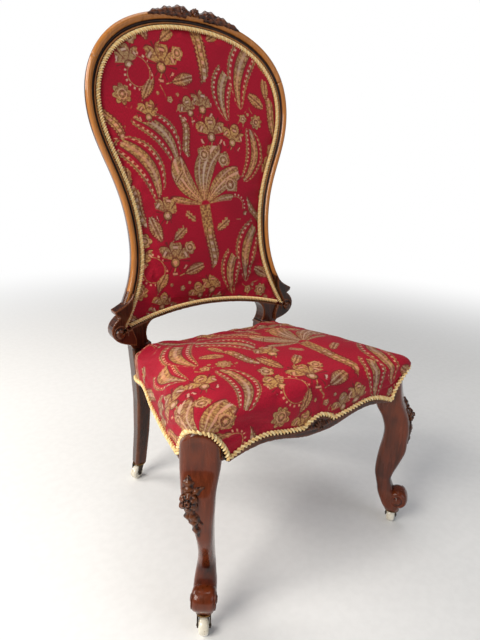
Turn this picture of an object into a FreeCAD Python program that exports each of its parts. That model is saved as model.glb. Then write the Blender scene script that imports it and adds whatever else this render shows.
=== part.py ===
import FreeCAD
import Part
import math
import os

# Balloon back salon chair, upholstered, on porcelain castors. Millimetres.
# X runs to the sitter's left seen from the front, so the chair faces -Y, and Z is up.
# The origin is on the floor, under the middle of the chair's outline.

V = FreeCAD.Vector
UP = V(0, 0, 1)

# General fits
SEAT_GAP = 0.3            # between a soft or curved piece and what carries it
GLUE_GAP = 0.05           # between a tenon or dowel and its hole
RUN_GAP = 0.06            # radial running clearance of a pin or an axle

# Back outline: the line of the gimp cord, seen from the front
BACK_CORNER_X = 199.5     # lower corner of the padded panel
BACK_CORNER_Z = 396.0
WAIST_X = 146.5           # narrowest half width
WAIST_Z = 560.0
SHOULDER_X = 206.3        # widest half width
SHOULDER_Z = 822.0
CREST_Z = 967.0           # top of the panel
ARCH_RISE = 28.0          # rise of the panel's lower edge over its corners

# Back surface: how far back the gimp line lies at each height
BACK_LOW_Y = 164.0        # in the small of the back
BACK_SWEEP = 64.0         # how much further back the crest lies
SWEEP_START_Z = 365.0
SWEEP_HEIGHT = 520.0
BACK_BOW = 16.0           # hollow of the back across its width

# Back frame section, from the gimp line outwards
FRAME_BAND = 23.5         # show-wood outside the gimp line
FRAME_DEPTH = 30.0        # from the gimp line to the rear face
CREST_WIDER = 4.0         # extra width of the show-wood at the crest
BEAD_PROUD = 5.5          # front bead ahead of the gimp line
LEDGE_IN = 18.0           # frame hidden behind the padding
REAR_REBATE = 3.0         # step that takes the outside back cover
SHOULDER_JOINT = 2.25     # place of the crest joint along the outline
ARCH_LIP = 8.0            # show-wood under the lower gimp line
NECK_PROUD = 3.0          # neck face ahead of the gimp line
RAIL_JOINT_X = 126.0      # shoulder of the lower back rail

# Cords and cloths
CORD_R = 4.2              # gimp cord radius
COVER_T = 2.5             # top cover with its wadding
CANVAS_T = 1.0
WEB_T = 1.5
WEB_WIDTH = 50.0
CUSHION_CROWN = 15.0      # swell of the back padding ahead of the gimp line

# Rear legs, seen from the front, then from the side
FOOT_Z = 38.0             # underside of every foot
REAR_FOOT_X = 159.0
REAR_FOOT_Y = 205.0
REAR_FOOT_SIDE = 26.0
REAR_KNEE_X = 155.0       # middle of the leg half way down
REAR_KNEE_Y = 183.0
REAR_KNEE_Z = 215.0
REAR_KNEE_SIDE = 32.0
REAR_TOP_X = 162.5        # middle of the leg where the seat rails meet it
REAR_TOP_WIDTH = 43.0
REAR_TOP_DEPTH = 34.0
NECK_Z = 378.0            # narrowest place of the neck above the seat
NECK_IN_X = 151.5

# Seat frame
SEAT_FRONT_Y = -215.0     # padded front face
SEAT_REAR_Y = 146.0
SEAT_REAR_X = 184.0       # half width of the padded seat at its rear
SEAT_SIDE_X = 236.0       # and at its front
RAIL_TOP_Z = 350.0        # top of the rails at the front
RAIL_FALL = 24.0          # how much lower they are at the rear
RAIL_LOW_Z = 281.0
SIDE_LIP = 6.0            # show-wood under the gimp line of a side rail
RAIL_T = 28.0
RAIL_INSET = 3.8          # rail face behind the padded face
REAR_RAIL_Y = 153.0       # front face of the rear rail
REAR_RAIL_T = 24.0
WEB_LEDGE_Z = 304.0       # flat ledge that carries the webbing
WEB_LEDGE_W = 12.0
SHOULDER_EASE = 6.0       # relief under the rear rail's shoulders, beside the tapering legs
SIDE_GIMP_Z = 289.0       # gimp line of a side rail at both of its ends
SIDE_SWELL = 15.0         # its rise toward the rear leg
SIDE_DIP = 4.0            # and its dip behind the knee
KNEE_GIMP_Z = 357.0
KNEE_SIDE_Y = -151.0      # where the gimp's arch over a knee ends on the side
EDGE_FRONT_Z = 375.0      # rolled edge of the seat at the front
EDGE_REAR_Z = 344.0
SEAT_CROWN_Z = 389.0
CROWN_Y = -80.0           # place of the highest part of the seat
CROWN_FALL = 0.00066      # fall of the top, per square millimetre away from there
TENON_T = 10.0
TENON_H = 20.0
TENON_L = 22.0

# Serpentine of the front rail, seen from the front: height of the gimp line
FRONT_END_X = 184.0
FRONT_END_Z = 299.0
FRONT_HIGH_X = 112.0
FRONT_HIGH_Z = 317.5
FRONT_LOW_X = 34.0
FRONT_LOW_Z = 304.0
CARTOUCHE_Z = 320.0
SHOW_WOOD = 14.5          # show-wood under the gimp line of the front rail

# Front legs, in the upright plane that runs diagonally through the leg
LEG_X = 207.5             # the plane's zero, over the ankle
LEG_Y = -200.0
LEG_TURN = 54.0           # the leg's outward direction, degrees from the side
FRONT_FOOT_OUT = 30.5     # middle of the foot from the zero
FRONT_FOOT_ASIDE = 2.0
SCROLL_OUT = 38.5
SCROLL_Z = 68.0
SCROLL_R = 20.0
SCROLL_W = 36.0
POST_TOP_Z = 352.4

# Castors
WHEEL_R = 15.0
WHEEL_W = 16.5
TRAIL = 10.0              # wheel centre behind the swivel pin
AXLE_R = 2.0
FORK_T = 2.4
FORK_TOP_Z = 35.4
PLATE_T = 2.0
PLATE_R = 15.0
WHEEL_SIDES = 24          # facets of the tread
PIN_R = 3.0

EAR_FRONT_Y = 141.0
EAR_IN = 8.0
EAR_T = 27.0
DOWEL_R = 3.5
DOWEL_L = 32.0
FRONT_UNDER_Z = 303.0     # underside of the front rail at its two high places
SEAT_POINTS = 34          # sides of the padded seat in plan
SPRING_R = 33.0
SPRING_WAIST_R = 24.0
SPRING_WIRE = 3.2
# Carving: place along the crest, half width and half height of each leaf
CREST_LEAVES = ((3.0, 20, 14), (2.93, 15, 11), (2.86, 13, 10), (2.80, 11, 8))
CARVING_TURN = 15.0       # how far a knee's carving faces round to the side
HESSIAN_IN = 10.0         # edge of the spring hessian inside the rails' faces
CARVING_SUNK = 6.0        # depth to which it is fitted round the leg
CREST_RISE = 12.0         # height of the carved cresting over the rail
HEAD_T = 1.2              # riveted head under the fork
SCREW_R = 1.6
SCREW_L = 12.0
# Direction each castor trails in at rest, degrees from the sitter's left
FRONT_LEFT_HEADING = 237.0
FRONT_RIGHT_HEADING = 34.0
REAR_LEFT_HEADING = 206.0
REAR_RIGHT_HEADING = 300.0

def xz(x, z, y=0.0):
    return V(x, y, z)


def spline(points):
    curve = Part.BSplineCurve()
    curve.interpolate(points)
    return curve.toShape()


def line(a, b):
    return Part.LineSegment(a, b).toShape()


def box(x0, x1, y0, y1, z0, z1):
    return Part.makeBox(x1 - x0, y1 - y0, z1 - z0, V(x0, y0, z0))


def disc(radius, height, base, axis=UP):
    return Part.makeCylinder(radius, height, base, axis)


def rod(radius, height, base, axis=UP, sides=8):
    """A many-sided rod, its corners at the radius."""
    side = axis.cross(V(0, 0, 1) if abs(axis.z) < 0.9 * axis.Length else V(1, 0, 0)).normalize()
    other = V(axis.x, axis.y, axis.z).normalize().cross(side)
    angles = [2 * math.pi * (k + 0.5) / sides for k in range(sides)]
    ring = [base + side * (radius * math.cos(a)) + other * (radius * math.sin(a)) for a in angles]
    return prism(polygon(ring), V(axis.x, axis.y, axis.z).normalize() * height)


def mirrored(shape):
    return shape.mirror(V(0, 0, 0), V(1, 0, 0))


def both_sides(points):
    """Points of the right half and then the same ones on the left, in running order."""
    return points + [V(-p.x, p.y, p.z) for p in reversed(points)]


def prism(wire, vector):
    return Part.Face(wire).extrude(vector)


def polygon(points):
    return Part.makePolygon(list(points) + [points[0]])


def facet(points):
    """Flat faces over three or four points: one where they lie flat, or else two."""
    a, b, c, d = points
    if a.distanceToPoint(b) < 1e-6:
        return [Part.Face(polygon([b, c, d]))]
    if c.distanceToPoint(d) < 1e-6:
        return [Part.Face(polygon([a, b, c]))]
    if abs(d.distanceToPlane(a, (b - a).cross(c - a))) < 1e-6:
        return [Part.Face(polygon(points))]
    return [Part.Face(polygon([a, b, c])), Part.Face(polygon([a, c, d]))]


def cap(ring):
    """The end of a stack: one flat face, or a fan where the last ring isn't flat."""
    third = len(ring) // 3
    normal = (ring[third] - ring[0]).cross(ring[2 * third] - ring[0])
    if all(abs(p.distanceToPlane(ring[0], normal)) < 1e-6 for p in ring):
        return [Part.Face(polygon(ring))]
    middle = V(0, 0, 0)
    for p in ring:
        middle = middle + p * (1.0 / len(ring))
    return [Part.Face(polygon([middle, a, b])) for a, b in zip(ring, ring[1:] + ring[:1])]


def stack(rings):
    """A solid through a run of many sided rings, with flat faces between them."""
    faces = cap(rings[0]) + cap(rings[-1])
    count = len(rings[0])
    for low, high in zip(rings, rings[1:]):
        for i in range(count):
            j = (i + 1) % count
            faces += facet([low[i], low[j], high[j], high[i]])
    solid = Part.Solid(Part.Shell(faces))
    if solid.Volume < 0:
        solid.reverse()
    return solid


def joined(shapes):
    return shapes[0].fuse(shapes[1:]).removeSplitter()


def largest(shape):
    return max(shape.Solids, key=lambda s: s.Volume)


# The back's outline and surface

def bezier(poles, t):
    """A point and the direction on a cubic curve in the front view."""
    a, b, c, d = poles
    s = 1.0 - t
    point = [a[i] * s**3 + 3 * b[i] * s * s * t + 3 * c[i] * s * t * t + d[i] * t**3 for i in (0, 1)]
    slope = [(b[i] - a[i]) * s * s + 2 * (c[i] - b[i]) * s * t + (d[i] - c[i]) * t * t for i in (0, 1)]
    size = math.hypot(slope[0], slope[1])
    return point, [slope[0] / size, slope[1] / size]


LOW_RUN = WAIST_Z - BACK_CORNER_Z
MID_RUN = SHOULDER_Z - WAIST_Z
TOP_RUN = CREST_Z - SHOULDER_Z
OUTLINE = (
    ((BACK_CORNER_X, BACK_CORNER_Z),
     (BACK_CORNER_X - 0.174 * LOW_RUN, BACK_CORNER_Z + 0.305 * LOW_RUN),
     (WAIST_X, WAIST_Z - 0.43 * LOW_RUN),
     (WAIST_X, WAIST_Z)),
    ((WAIST_X, WAIST_Z),
     (WAIST_X, WAIST_Z + 0.5 * MID_RUN),
     (SHOULDER_X, SHOULDER_Z - 0.31 * MID_RUN),
     (SHOULDER_X, SHOULDER_Z)),
    ((SHOULDER_X, SHOULDER_Z),
     (SHOULDER_X, SHOULDER_Z + 0.62 * TOP_RUN),
     (0.62 * SHOULDER_X, CREST_Z),
     (0.0, CREST_Z)),
)
ARCH_R = (BACK_CORNER_X**2 + ARCH_RISE**2) / (2 * ARCH_RISE)
ARCH_CENTRE_Z = BACK_CORNER_Z + ARCH_RISE - ARCH_R
CREST = 3.0               # place of the crest's middle along the outline
STATIONS = [i / 5 for i in range(5)] + [1 + i / 6 for i in range(6)] + [2 + i / 8 for i in range(8)] + [2.95]


def outline(place, out=0.0):
    """Front view point at a place on the gimp line, 0 corner, 1 waist, 2 shoulder, 3 crest.

    Past the crest the line runs down the other side, and before 0 it goes straight on.
    """
    if place > CREST:
        x, z = outline(2 * CREST - place, out)
        return -x, z
    piece = min(max(int(place), 0), 2)
    (x, z), (tx, tz) = bezier(OUTLINE[piece], max(place - piece, 0.0))
    if place < 0:
        x, z = x + tx * place * LOW_RUN, z + tz * place * LOW_RUN
    return x + out * tz, z - out * tx


def back_y(x, z):
    """Depth of the gimp line: an easy sweep up the back, hollowed across its width."""
    t = min(max((z - SWEEP_START_Z) / SWEEP_HEIGHT, 0.0), 1.0)
    return BACK_LOW_Y + BACK_SWEEP * t * t * (3 - 2 * t) - BACK_BOW * (x / SHOULDER_X) ** 2


def on_back(place, out, behind):
    x, z = outline(place, out)
    return V(x, back_y(x, z) + behind, z)


def arch_z(x, out):
    """Height of the lower gimp line's arch, moved outwards, which is down."""
    return ARCH_CENTRE_Z + math.sqrt((ARCH_R - out) ** 2 - x * x)


def arch_cylinder(out):
    return disc(ARCH_R - out, 400, V(0, 0, ARCH_CENTRE_Z), V(0, 1, 0))


# Depths behind the gimp line of what lies in the back frame's rebates
COVER_FRONT = CORD_R + SEAT_GAP
COVER_LEDGE = COVER_FRONT + COVER_T + SEAT_GAP
CANVAS_FRONT = COVER_LEDGE + 2 * SEAT_GAP
WEB_FRONT = CANVAS_FRONT + CANVAS_T + SEAT_GAP
WEB_LEDGE = WEB_FRONT + 2 * WEB_T + 2 * SEAT_GAP
REAR_LEDGE = FRAME_DEPTH - REAR_REBATE
REBATE_OUT = CORD_R + 1.0
WEB_LEDGE_OUT = -7.0
REAR_STEP_OUT = 7.0
GIMP_FLAT = CORD_R + 2 * SEAT_GAP
PADDING_GAP = 1.6


def bent(a, b, c, count):
    """Points along the arc through three points of a section, without its last one."""
    arc = Part.Arc(V(a[0], a[1], 0), V(b[0], b[1], 0), V(c[0], c[1], 0)).toShape()
    return [(p.x, p.y) for p in arc.discretize(count + 1)[:-1]]


BEAD_IN = REBATE_OUT + 6.3
# Fillet, cove and bead of the frame, then its side, its rear and its rebates
BAND_SECTION = (
    [(WEB_LEDGE_OUT, COVER_LEDGE), (REBATE_OUT, COVER_LEDGE), (REBATE_OUT, 0.5)]
    + bent((REBATE_OUT + 2.3, 0.0), (REBATE_OUT + 3.8, 2.6), (BEAD_IN, 2.0), 2)
    + bent((BEAD_IN, 2.0), ((BEAD_IN + FRAME_BAND) / 2, -BEAD_PROUD), (FRAME_BAND, 2.5), 5)
    + [(FRAME_BAND, 2.5), (FRAME_BAND - 0.8, 9.0), (FRAME_BAND - 3.5, 20.0), (FRAME_BAND - 7.0, FRAME_DEPTH - 2),
       (FRAME_BAND - 11.5, FRAME_DEPTH), (REAR_STEP_OUT, FRAME_DEPTH), (REAR_STEP_OUT, REAR_LEDGE),
       (-LEDGE_IN, REAR_LEDGE), (-LEDGE_IN, WEB_LEDGE), (WEB_LEDGE_OUT, WEB_LEDGE)]
)


def widened(place, out):
    """A distance out from the gimp line, spread toward the crest where the frame is wider."""
    near = min(max((min(place, 2 * CREST - place) - 1.9) / 0.7, 0.0), 1.0)
    spread = near * near * (3 - 2 * near) * CREST_WIDER
    return out + spread * max(out - REAR_STEP_OUT, 0.0) / (FRAME_BAND - REAR_STEP_OUT)


def band(places):
    return stack([[on_back(p, widened(p, out), behind) for out, behind in BAND_SECTION] for p in places])


PANEL_PLACES = [-0.08] + STATIONS
ACROSS = (0.88, 0.66, 0.33, 0.0, -0.33, -0.66, -0.88)


def flat_line(line):
    """Half width up to which the padding swells, where the gimp line's half width is given."""
    return max(line - GIMP_FLAT, 0.94 * line)


def panel_layer(out, front, rear, arch_out=None):
    """A layer of the back inside its outline and above its arch, between two depths.

    Each depth is a number behind the gimp line, or a function of a point of the front
    view and of the gimp line's half width there.
    """
    def at(depth, x, z, line):
        return depth(x, z, line) if callable(depth) else depth
    rings = []
    for place in PANEL_PLACES:
        line = outline(place)[0]
        half, z = outline(place, out)
        edge = [half, flat_line(line)] if out > 0 else [half]
        xs = edge + [line * f for f in ACROSS] + [-x for x in reversed(edge)]
        face = [V(x, back_y(x, z) + at(front, x, z, line), z) for x in xs]
        back = [V(x, back_y(x, z) + at(rear, x, z, line), z) for x in reversed(xs)]
        rings.append(face + back)
    return stack(rings).cut(arch_cylinder(out if arch_out is None else arch_out))


def swell(x, z, line):
    """How full the padding stands at a point: not at all under the gimp, most in the middle."""
    across = min(abs(x) / flat_line(line), 1.0)
    low, high = arch_z(x, -GIMP_FLAT), CREST_Z - GIMP_FLAT
    up = min(max((z - low) / (high - low), 0.0), 1.0)
    return (1 - across ** 2.6) ** 0.75 * max(math.sin(math.pi * up), 0.0) ** 0.5


def cushion_face(x, z, line):
    return COVER_FRONT - (CUSHION_CROWN + COVER_FRONT) * swell(x, z, line)


def cushion_inside(x, z, line):
    return cushion_face(x, z, line) + COVER_T


def padding_face(x, z, line):
    return min(cushion_inside(x, z, line) + PADDING_GAP, CANVAS_FRONT - 2 * SEAT_GAP)


def back_slab(xs, zs, front, rear):
    """A slab that follows the back's surface over a block of the front view."""
    rings = []
    for z in zs:
        face = [V(x, back_y(x, z) + front, z) for x in xs]
        rings.append(face + [V(x, back_y(x, z) + rear, z) for x in reversed(xs)])
    return stack(rings)


def back_webbing():
    """Upright and crossing straps behind the canvas, cut to the frame's opening."""
    out = WEB_LEDGE_OUT - SEAT_GAP
    half_w = WEB_WIDTH / 2
    first, second = [panel_layer(out, depth, depth + WEB_T) for depth in (WEB_FRONT, WEB_FRONT + WEB_T + SEAT_GAP)]
    straps = [first.common(box(x - half_w, x + half_w, 0, 400, 300, 1000)) for x in (-72, 0, 72)]
    straps += [second.common(box(-300, 300, 0, 400, z - half_w, z + half_w)) for z in (490, 640, 780, 890)]
    return [largest(strap) for strap in straps]


# Back uprights with their rear legs

def square_ring(x, y, z, width, depth, chamfer=3.0):
    w, d, c = width / 2, depth / 2, chamfer
    return [V(x + a, y + b, z) for a, b in (
        (w, d - c), (w - c, d), (c - w, d), (-w, d - c), (-w, c - d), (c - w, -d), (w - c, -d), (w, c - d))]


def rear_leg():
    """One rear leg from its foot to the neck above the seat rails."""
    top = RAIL_TOP_Z - 2
    top_y = back_y(REAR_TOP_X, top) + (FRAME_DEPTH - NECK_PROUD) / 2
    half_y, half_z = REAR_KNEE_Y, REAR_KNEE_Z
    low_z = (FOOT_Z + half_z) / 2
    rings = [
        square_ring(REAR_FOOT_X, REAR_FOOT_Y, FOOT_Z, REAR_FOOT_SIDE, REAR_FOOT_SIDE),
        square_ring(REAR_KNEE_X + 0.5, half_y + 0.42 * (REAR_FOOT_Y - half_y), low_z, REAR_FOOT_SIDE + 3,
                    REAR_FOOT_SIDE + 3),
        square_ring(REAR_KNEE_X, half_y, half_z, REAR_KNEE_SIDE, REAR_KNEE_SIDE),
        square_ring(REAR_KNEE_X + 0.4 * (REAR_TOP_X - REAR_KNEE_X), top_y + 0.28 * (half_y - top_y),
                    RAIL_LOW_Z, REAR_TOP_WIDTH - 4, REAR_TOP_DEPTH),
        square_ring(REAR_TOP_X, top_y, top, REAR_TOP_WIDTH, FRAME_DEPTH + NECK_PROUD),
        square_ring(REAR_TOP_X, top_y, top + 6, REAR_TOP_WIDTH, FRAME_DEPTH + NECK_PROUD),
    ]
    return stack(rings)


def neck():
    """The shaped shoulder between leg, stile and lower back rail."""
    low_z = RAIL_TOP_Z - 2
    half_top = REAR_TOP_WIDTH / 2
    joint_low = arch_z(RAIL_JOINT_X, ARCH_LIP)
    joint_high = arch_z(RAIL_JOINT_X, -LEDGE_IN)
    inner = spline([xz(RAIL_JOINT_X, joint_low), xz(NECK_IN_X - 9, joint_low - 6),
                    xz(NECK_IN_X - 1, NECK_Z + 8), xz(NECK_IN_X, NECK_Z - 8), xz(REAR_TOP_X - half_top, low_z)])
    inner = inner.discretize(9)
    corner = outline(0.0, FRAME_BAND - 2)
    ledge = outline(0.2, 0.0)
    outer = [xz(REAR_TOP_X - half_top, low_z), xz(REAR_TOP_X + half_top, low_z),
             xz(REAR_TOP_X + half_top + 8, low_z + 14), xz(corner[0] - 8, NECK_Z + 6),
             xz(corner[0], corner[1] + 2), xz(ledge[0] + 6, ledge[1]), xz(ledge[0] - 14, ledge[1]),
             xz(RAIL_JOINT_X + 14, joint_high + 10), xz(RAIL_JOINT_X, joint_high)]
    slab = back_slab((110, 135, 160, 185, 210, 240), (low_z - 6, 380, 415, ledge[1] + 8),
                     -NECK_PROUD, FRAME_DEPTH)
    return prism(polygon(inner[:-1] + outer), V(0, 400, 0)).common(slab)


def frame_rebates():
    """What the padding and the outside cover take out of the necks and the lower rail."""
    return [panel_layer(REBATE_OUT, -30, COVER_LEDGE), panel_layer(WEB_LEDGE_OUT, -30, WEB_LEDGE),
            panel_layer(REAR_STEP_OUT, REAR_LEDGE, FRAME_DEPTH + 30, arch_out=ARCH_LIP - 3)]


def ear():
    """The scroll beside the neck: a pointed leaf over a round lobe with its eye."""
    start = outline(0.42, FRAME_BAND - 1)
    top, tip, notch, foot = xz(start[0], start[1]), xz(229, 434), xz(215, 423), xz(186, 357)
    leaf = spline([top, xz(205, 447), xz(215, 441), tip]).discretize(6)
    under = spline([tip, xz(225, 425), notch]).discretize(4)
    scroll = spline([notch, xz(230, 411), xz(237, 394), xz(230, 376), xz(213, 365), foot]).discretize(13)
    ring = leaf[:-1] + under[:-1] + scroll + [xz(186, 372), xz(196, 400)]
    front = EAR_FRONT_Y
    plate = prism(polygon(ring), V(0, EAR_T, 0))
    plate.translate(V(-EAR_IN, front, 0))
    boss = lobe(xz(220 - EAR_IN, 388, front), V(1, 0, 0), UP, V(0, -1, 0), 10, 10, 5, 10)
    return joined([plate, boss])


def crest_dowels(gap=0.0):
    """Two dowels across each crest joint, laid along the grain of the curve."""
    _, (tx, tz) = bezier(OUTLINE[2], SHOULDER_JOINT - 2)
    along = V(tx, 0, tz)
    rods = []
    for out, behind in ((-5.0, 19.0), (12.0, 14.0)):
        half = along * (DOWEL_L / 2 + gap)
        dowel = rod(DOWEL_R + gap, DOWEL_L + 2 * gap, on_back(SHOULDER_JOINT, out, behind) - half, along)
        rods += [dowel, mirrored(dowel)]
    return rods


def lower_rail():
    """The arched rail under the panel, with a tenon at each end."""
    low, high = BACK_CORNER_Z - 20, BACK_CORNER_Z + 60
    span = back_slab([RAIL_JOINT_X * f for f in (-1, -0.6, -0.2, 0.2, 0.6, 1)], (low, (low + high) / 2, high),
                     -NECK_PROUD, FRAME_DEPTH)
    rail = span.common(arch_cylinder(-LEDGE_IN)).cut([arch_cylinder(ARCH_LIP)] + frame_rebates())
    tenon = lower_rail_tenon()
    return joined([rail, tenon, mirrored(tenon)])


def lower_rail_tenon(gap=0.0):
    """The right tenon of the lower back rail; its socket is this grown by the glue gap."""
    z = arch_z(RAIL_JOINT_X, -5)
    y = back_y(RAIL_JOINT_X, z) + (WEB_LEDGE + REAR_LEDGE) / 2
    half = TENON_T / 2 - 1 + gap
    return box(RAIL_JOINT_X - 3, RAIL_JOINT_X + TENON_L - 4 + gap, y - half, y + half, z - 9 - gap, z + 9 + gap)


# Seat plan and padding

LEG_INNER_X = REAR_TOP_X - REAR_TOP_WIDTH / 2

SEAT_MID_Y = (SEAT_FRONT_Y + SEAT_REAR_Y) / 2


def plan_curve():
    """The padded seat's outline in plan, from the right rear corner round to the left one."""
    side, rear, front = SEAT_SIDE_X, SEAT_REAR_X, SEAT_FRONT_Y
    slope = (side - 2 - rear) / (SEAT_REAR_Y - front - 65)
    straight = [(rear + slope * (SEAT_REAR_Y - y), y) for y in (130, 60, -10, -80)]
    half = [(rear - 5, SEAT_REAR_Y)] + straight + [
        (side - 2, front + 65), (side, front + 40), (side, front + 19), (side - 6, front + 4), (side - 20, front - 2),
        (side - 36, front - 1.5), (FRONT_END_X - 8, front - 1), (FRONT_END_X - 50, front), (60, front)]
    return spline(both_sides([V(x, y, 0) for x, y in half]))


PLAN = plan_curve()
PLAN_POINTS = PLAN.discretize(SEAT_POINTS)


def plan_at(x=None, y=None):
    """The point of the right half of the plan nearest a side position or a depth."""
    run = [p for p in PLAN.discretize(600) if p.x > -1]
    if x is not None:
        return min((p for p in run if p.y < SEAT_MID_Y), key=lambda p: abs(p.x - x))
    return min((p for p in run if p.x > 150), key=lambda p: abs(p.y - y))


def leg_directions():
    turn = math.radians(LEG_TURN)
    return V(math.cos(turn), -math.sin(turn), 0), V(math.sin(turn), math.cos(turn), 0)


def diagonal(out, across, z):
    """A point near the right front leg: outwards and across in the leg's own directions."""
    outwards, aside = leg_directions()
    return V(LEG_X, LEG_Y, z) + outwards * out + aside * across


def edge_z(y):
    return EDGE_REAR_Z + (EDGE_FRONT_Z - EDGE_REAR_Z) * min(max((30 - y) / 230, 0.0), 1.0)


def top_z(y):
    return SEAT_CROWN_Z - CROWN_FALL * (y - CROWN_Y) ** 2


def rail_top(y):
    """Top of the rails, which fall toward the rear."""
    return RAIL_TOP_Z - RAIL_FALL * (y - SEAT_FRONT_Y) / (REAR_RAIL_Y + REAR_RAIL_T - SEAT_FRONT_Y)


def seat_ring(inset, height):
    """The seat's outline drawn in by an inset, at a height given for each depth."""
    sx = 1 - inset / SEAT_SIDE_X
    sy = 1 - inset / (SEAT_REAR_Y - SEAT_MID_Y)
    ring = [(p.x * sx, SEAT_MID_Y + (p.y - SEAT_MID_Y) * sy) for p in PLAN_POINTS]
    return [V(x, y, height(y)) for x, y in ring]


def seat_body(skin, low, sides=True):
    """The padded seat: upright sides, a rolled edge and a crown, less a skin all over."""
    def upper(part, drop=0.0):
        return lambda y: edge_z(y) + part * (top_z(y) - edge_z(y)) - drop - skin
    waist = [(-0.5, lambda y: edge_z(y) - 22)] if sides else []
    levels = [(0.0, low)] + waist + [(0.5, upper(0, 7)), (5, upper(0)), (16, upper(0.38)), (38, upper(0.68)),
                                     (75, upper(0.9)), (120, upper(1.0))]
    return stack([seat_ring(inset + skin, height) for inset, height in levels])


def rear_tongue(skin, low):
    """The part of the padding that passes between the rear legs over the rear rail."""
    half = LEG_INNER_X - 3 - skin
    rear = REAR_RAIL_Y + REAR_RAIL_T + COVER_T + 2 * SEAT_GAP - skin
    start = SEAT_REAR_Y - 50
    side = [(start, low(start)), (rear, low(rear)), (rear, EDGE_REAR_Z - 12), (rear - 3, EDGE_REAR_Z - 3),
            (rear - 12, EDGE_REAR_Z + 4), (SEAT_REAR_Y, EDGE_REAR_Z + 9), (start, top_z(start) - 6)]
    side = [V(-half, y, z if i < 2 else z - skin) for i, (y, z) in enumerate(side)]
    return prism(polygon(side), V(2 * half, 0, 0))


def front_gimp():
    """Gimp line of the front rail, right half, from the knee to the cartouche."""
    mid_z = (FRONT_HIGH_Z + FRONT_LOW_Z) / 2
    return [xz(x, z) for x, z in (
        (FRONT_END_X, FRONT_END_Z), ((FRONT_END_X + FRONT_HIGH_X) / 2, FRONT_HIGH_Z - 4.5),
        (FRONT_HIGH_X, FRONT_HIGH_Z), ((FRONT_HIGH_X + FRONT_LOW_X) / 2, mid_z - 0.5), (FRONT_LOW_X, FRONT_LOW_Z))]


def cartouche_gimp():
    side = [xz(FRONT_LOW_X, FRONT_LOW_Z), xz(FRONT_LOW_X - 12, CARTOUCHE_Z - 7)]
    return side + [xz(0, CARTOUCHE_Z)] + [V(-p.x, p.y, p.z) for p in reversed(side)]


def closed_below(run, y0, y1):
    """A block under a run of points in the front view, between two depths."""
    low = RAIL_LOW_Z - 60
    ring = [V(p.x, y0, p.z) for p in run] + [xz(run[-1].x, low, y0), xz(run[0].x, low, y0)]
    return prism(polygon(ring), V(0, y1 - y0, 0))


def gimp_run():
    """The front gimp line from the right knee to the middle of the cartouche."""
    return spline(front_gimp()).discretize(9) + spline(cartouche_gimp()).discretize(7)[1:4]


def under_gimp(drop, y0, y1):
    right = [V(p.x, p.y, p.z + drop) for p in gimp_run()]
    return closed_below(right + [V(-p.x, p.y, p.z) for p in reversed(right[:-1])], y0, y1)


def under_rail(y0, y1):
    """What is sawn away under the front rail's serpentine."""
    half = [xz(FRONT_END_X, FRONT_END_Z - 8, y0), xz(150, FRONT_UNDER_Z - 3, y0), xz(118, FRONT_UNDER_Z, y0),
            xz(70, FRONT_UNDER_Z - 7, y0), xz(FRONT_LOW_X, FRONT_UNDER_Z - 16, y0)]
    run = half + [xz(0, FRONT_UNDER_Z - 18, y0)] + [V(-p.x, p.y, p.z) for p in reversed(half)]
    return closed_below(spline(run).discretize(25), y0, y1)


def side_gimp_z(y):
    """Gimp line of a side rail: a dip behind the knee and a rise before the rear leg."""
    t = (y - KNEE_SIDE_Y) / (SEAT_REAR_Y - 10 - KNEE_SIDE_Y)
    if t < 0.5:
        return SIDE_GIMP_Z - SIDE_DIP * math.sin(math.pi * max(t, 0.0) / 0.5) ** 2
    return SIDE_GIMP_Z + SIDE_SWELL * math.sin(math.pi * min((t - 0.5) / 0.5, 1.0)) ** 2


def under_side(drop):
    """Everything under a side gimp line moved by a drop, across the whole chair."""
    ys = [REAR_RAIL_Y + 40, SEAT_REAR_Y - 10, 116, 100, 84, 68, 52, 36, 18, -4, -40, -80, -115, KNEE_SIDE_Y, -230]
    low = RAIL_LOW_Z - 60
    ring = [V(-300, y, side_gimp_z(y) + drop) for y in ys] + [V(-300, -230, low), V(-300, REAR_RAIL_Y + 40, low)]
    return prism(polygon(ring), V(600, 0, 0))


def knee_arch(count=9):
    """Points on the plan round the right knee, front to side, with the gimp's height."""
    run = [p for p in PLAN.discretize(900) if p.x > 0 and (p.x > FRONT_END_X or p.y > -200) and p.y < KNEE_SIDE_Y]
    run = list(reversed(run))
    points = []
    for i in range(count + 1):
        t = i / count
        p = run[int(t * (len(run) - 1))]
        base = FRONT_END_Z + (SIDE_GIMP_Z - FRONT_END_Z) * t
        points.append(V(p.x, p.y, base + (KNEE_GIMP_Z - base) * math.sin(math.pi * t) ** 0.55))
    return points


def knee_window(gap):
    """The arched space over the right knee that the cover leaves open."""
    out, aside = leg_directions()
    zero = V(LEG_X, LEG_Y, 0)
    arch = [((p - zero).dot(aside), p.z + gap) for p in knee_arch()]
    low = RAIL_LOW_Z - 20
    arch = [(arch[0][0] - gap, low)] + arch + [(arch[-1][0] + gap, low)]
    return prism(polygon([diagonal(-42, a, z) for a, z in arch]), out * 110)


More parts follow.
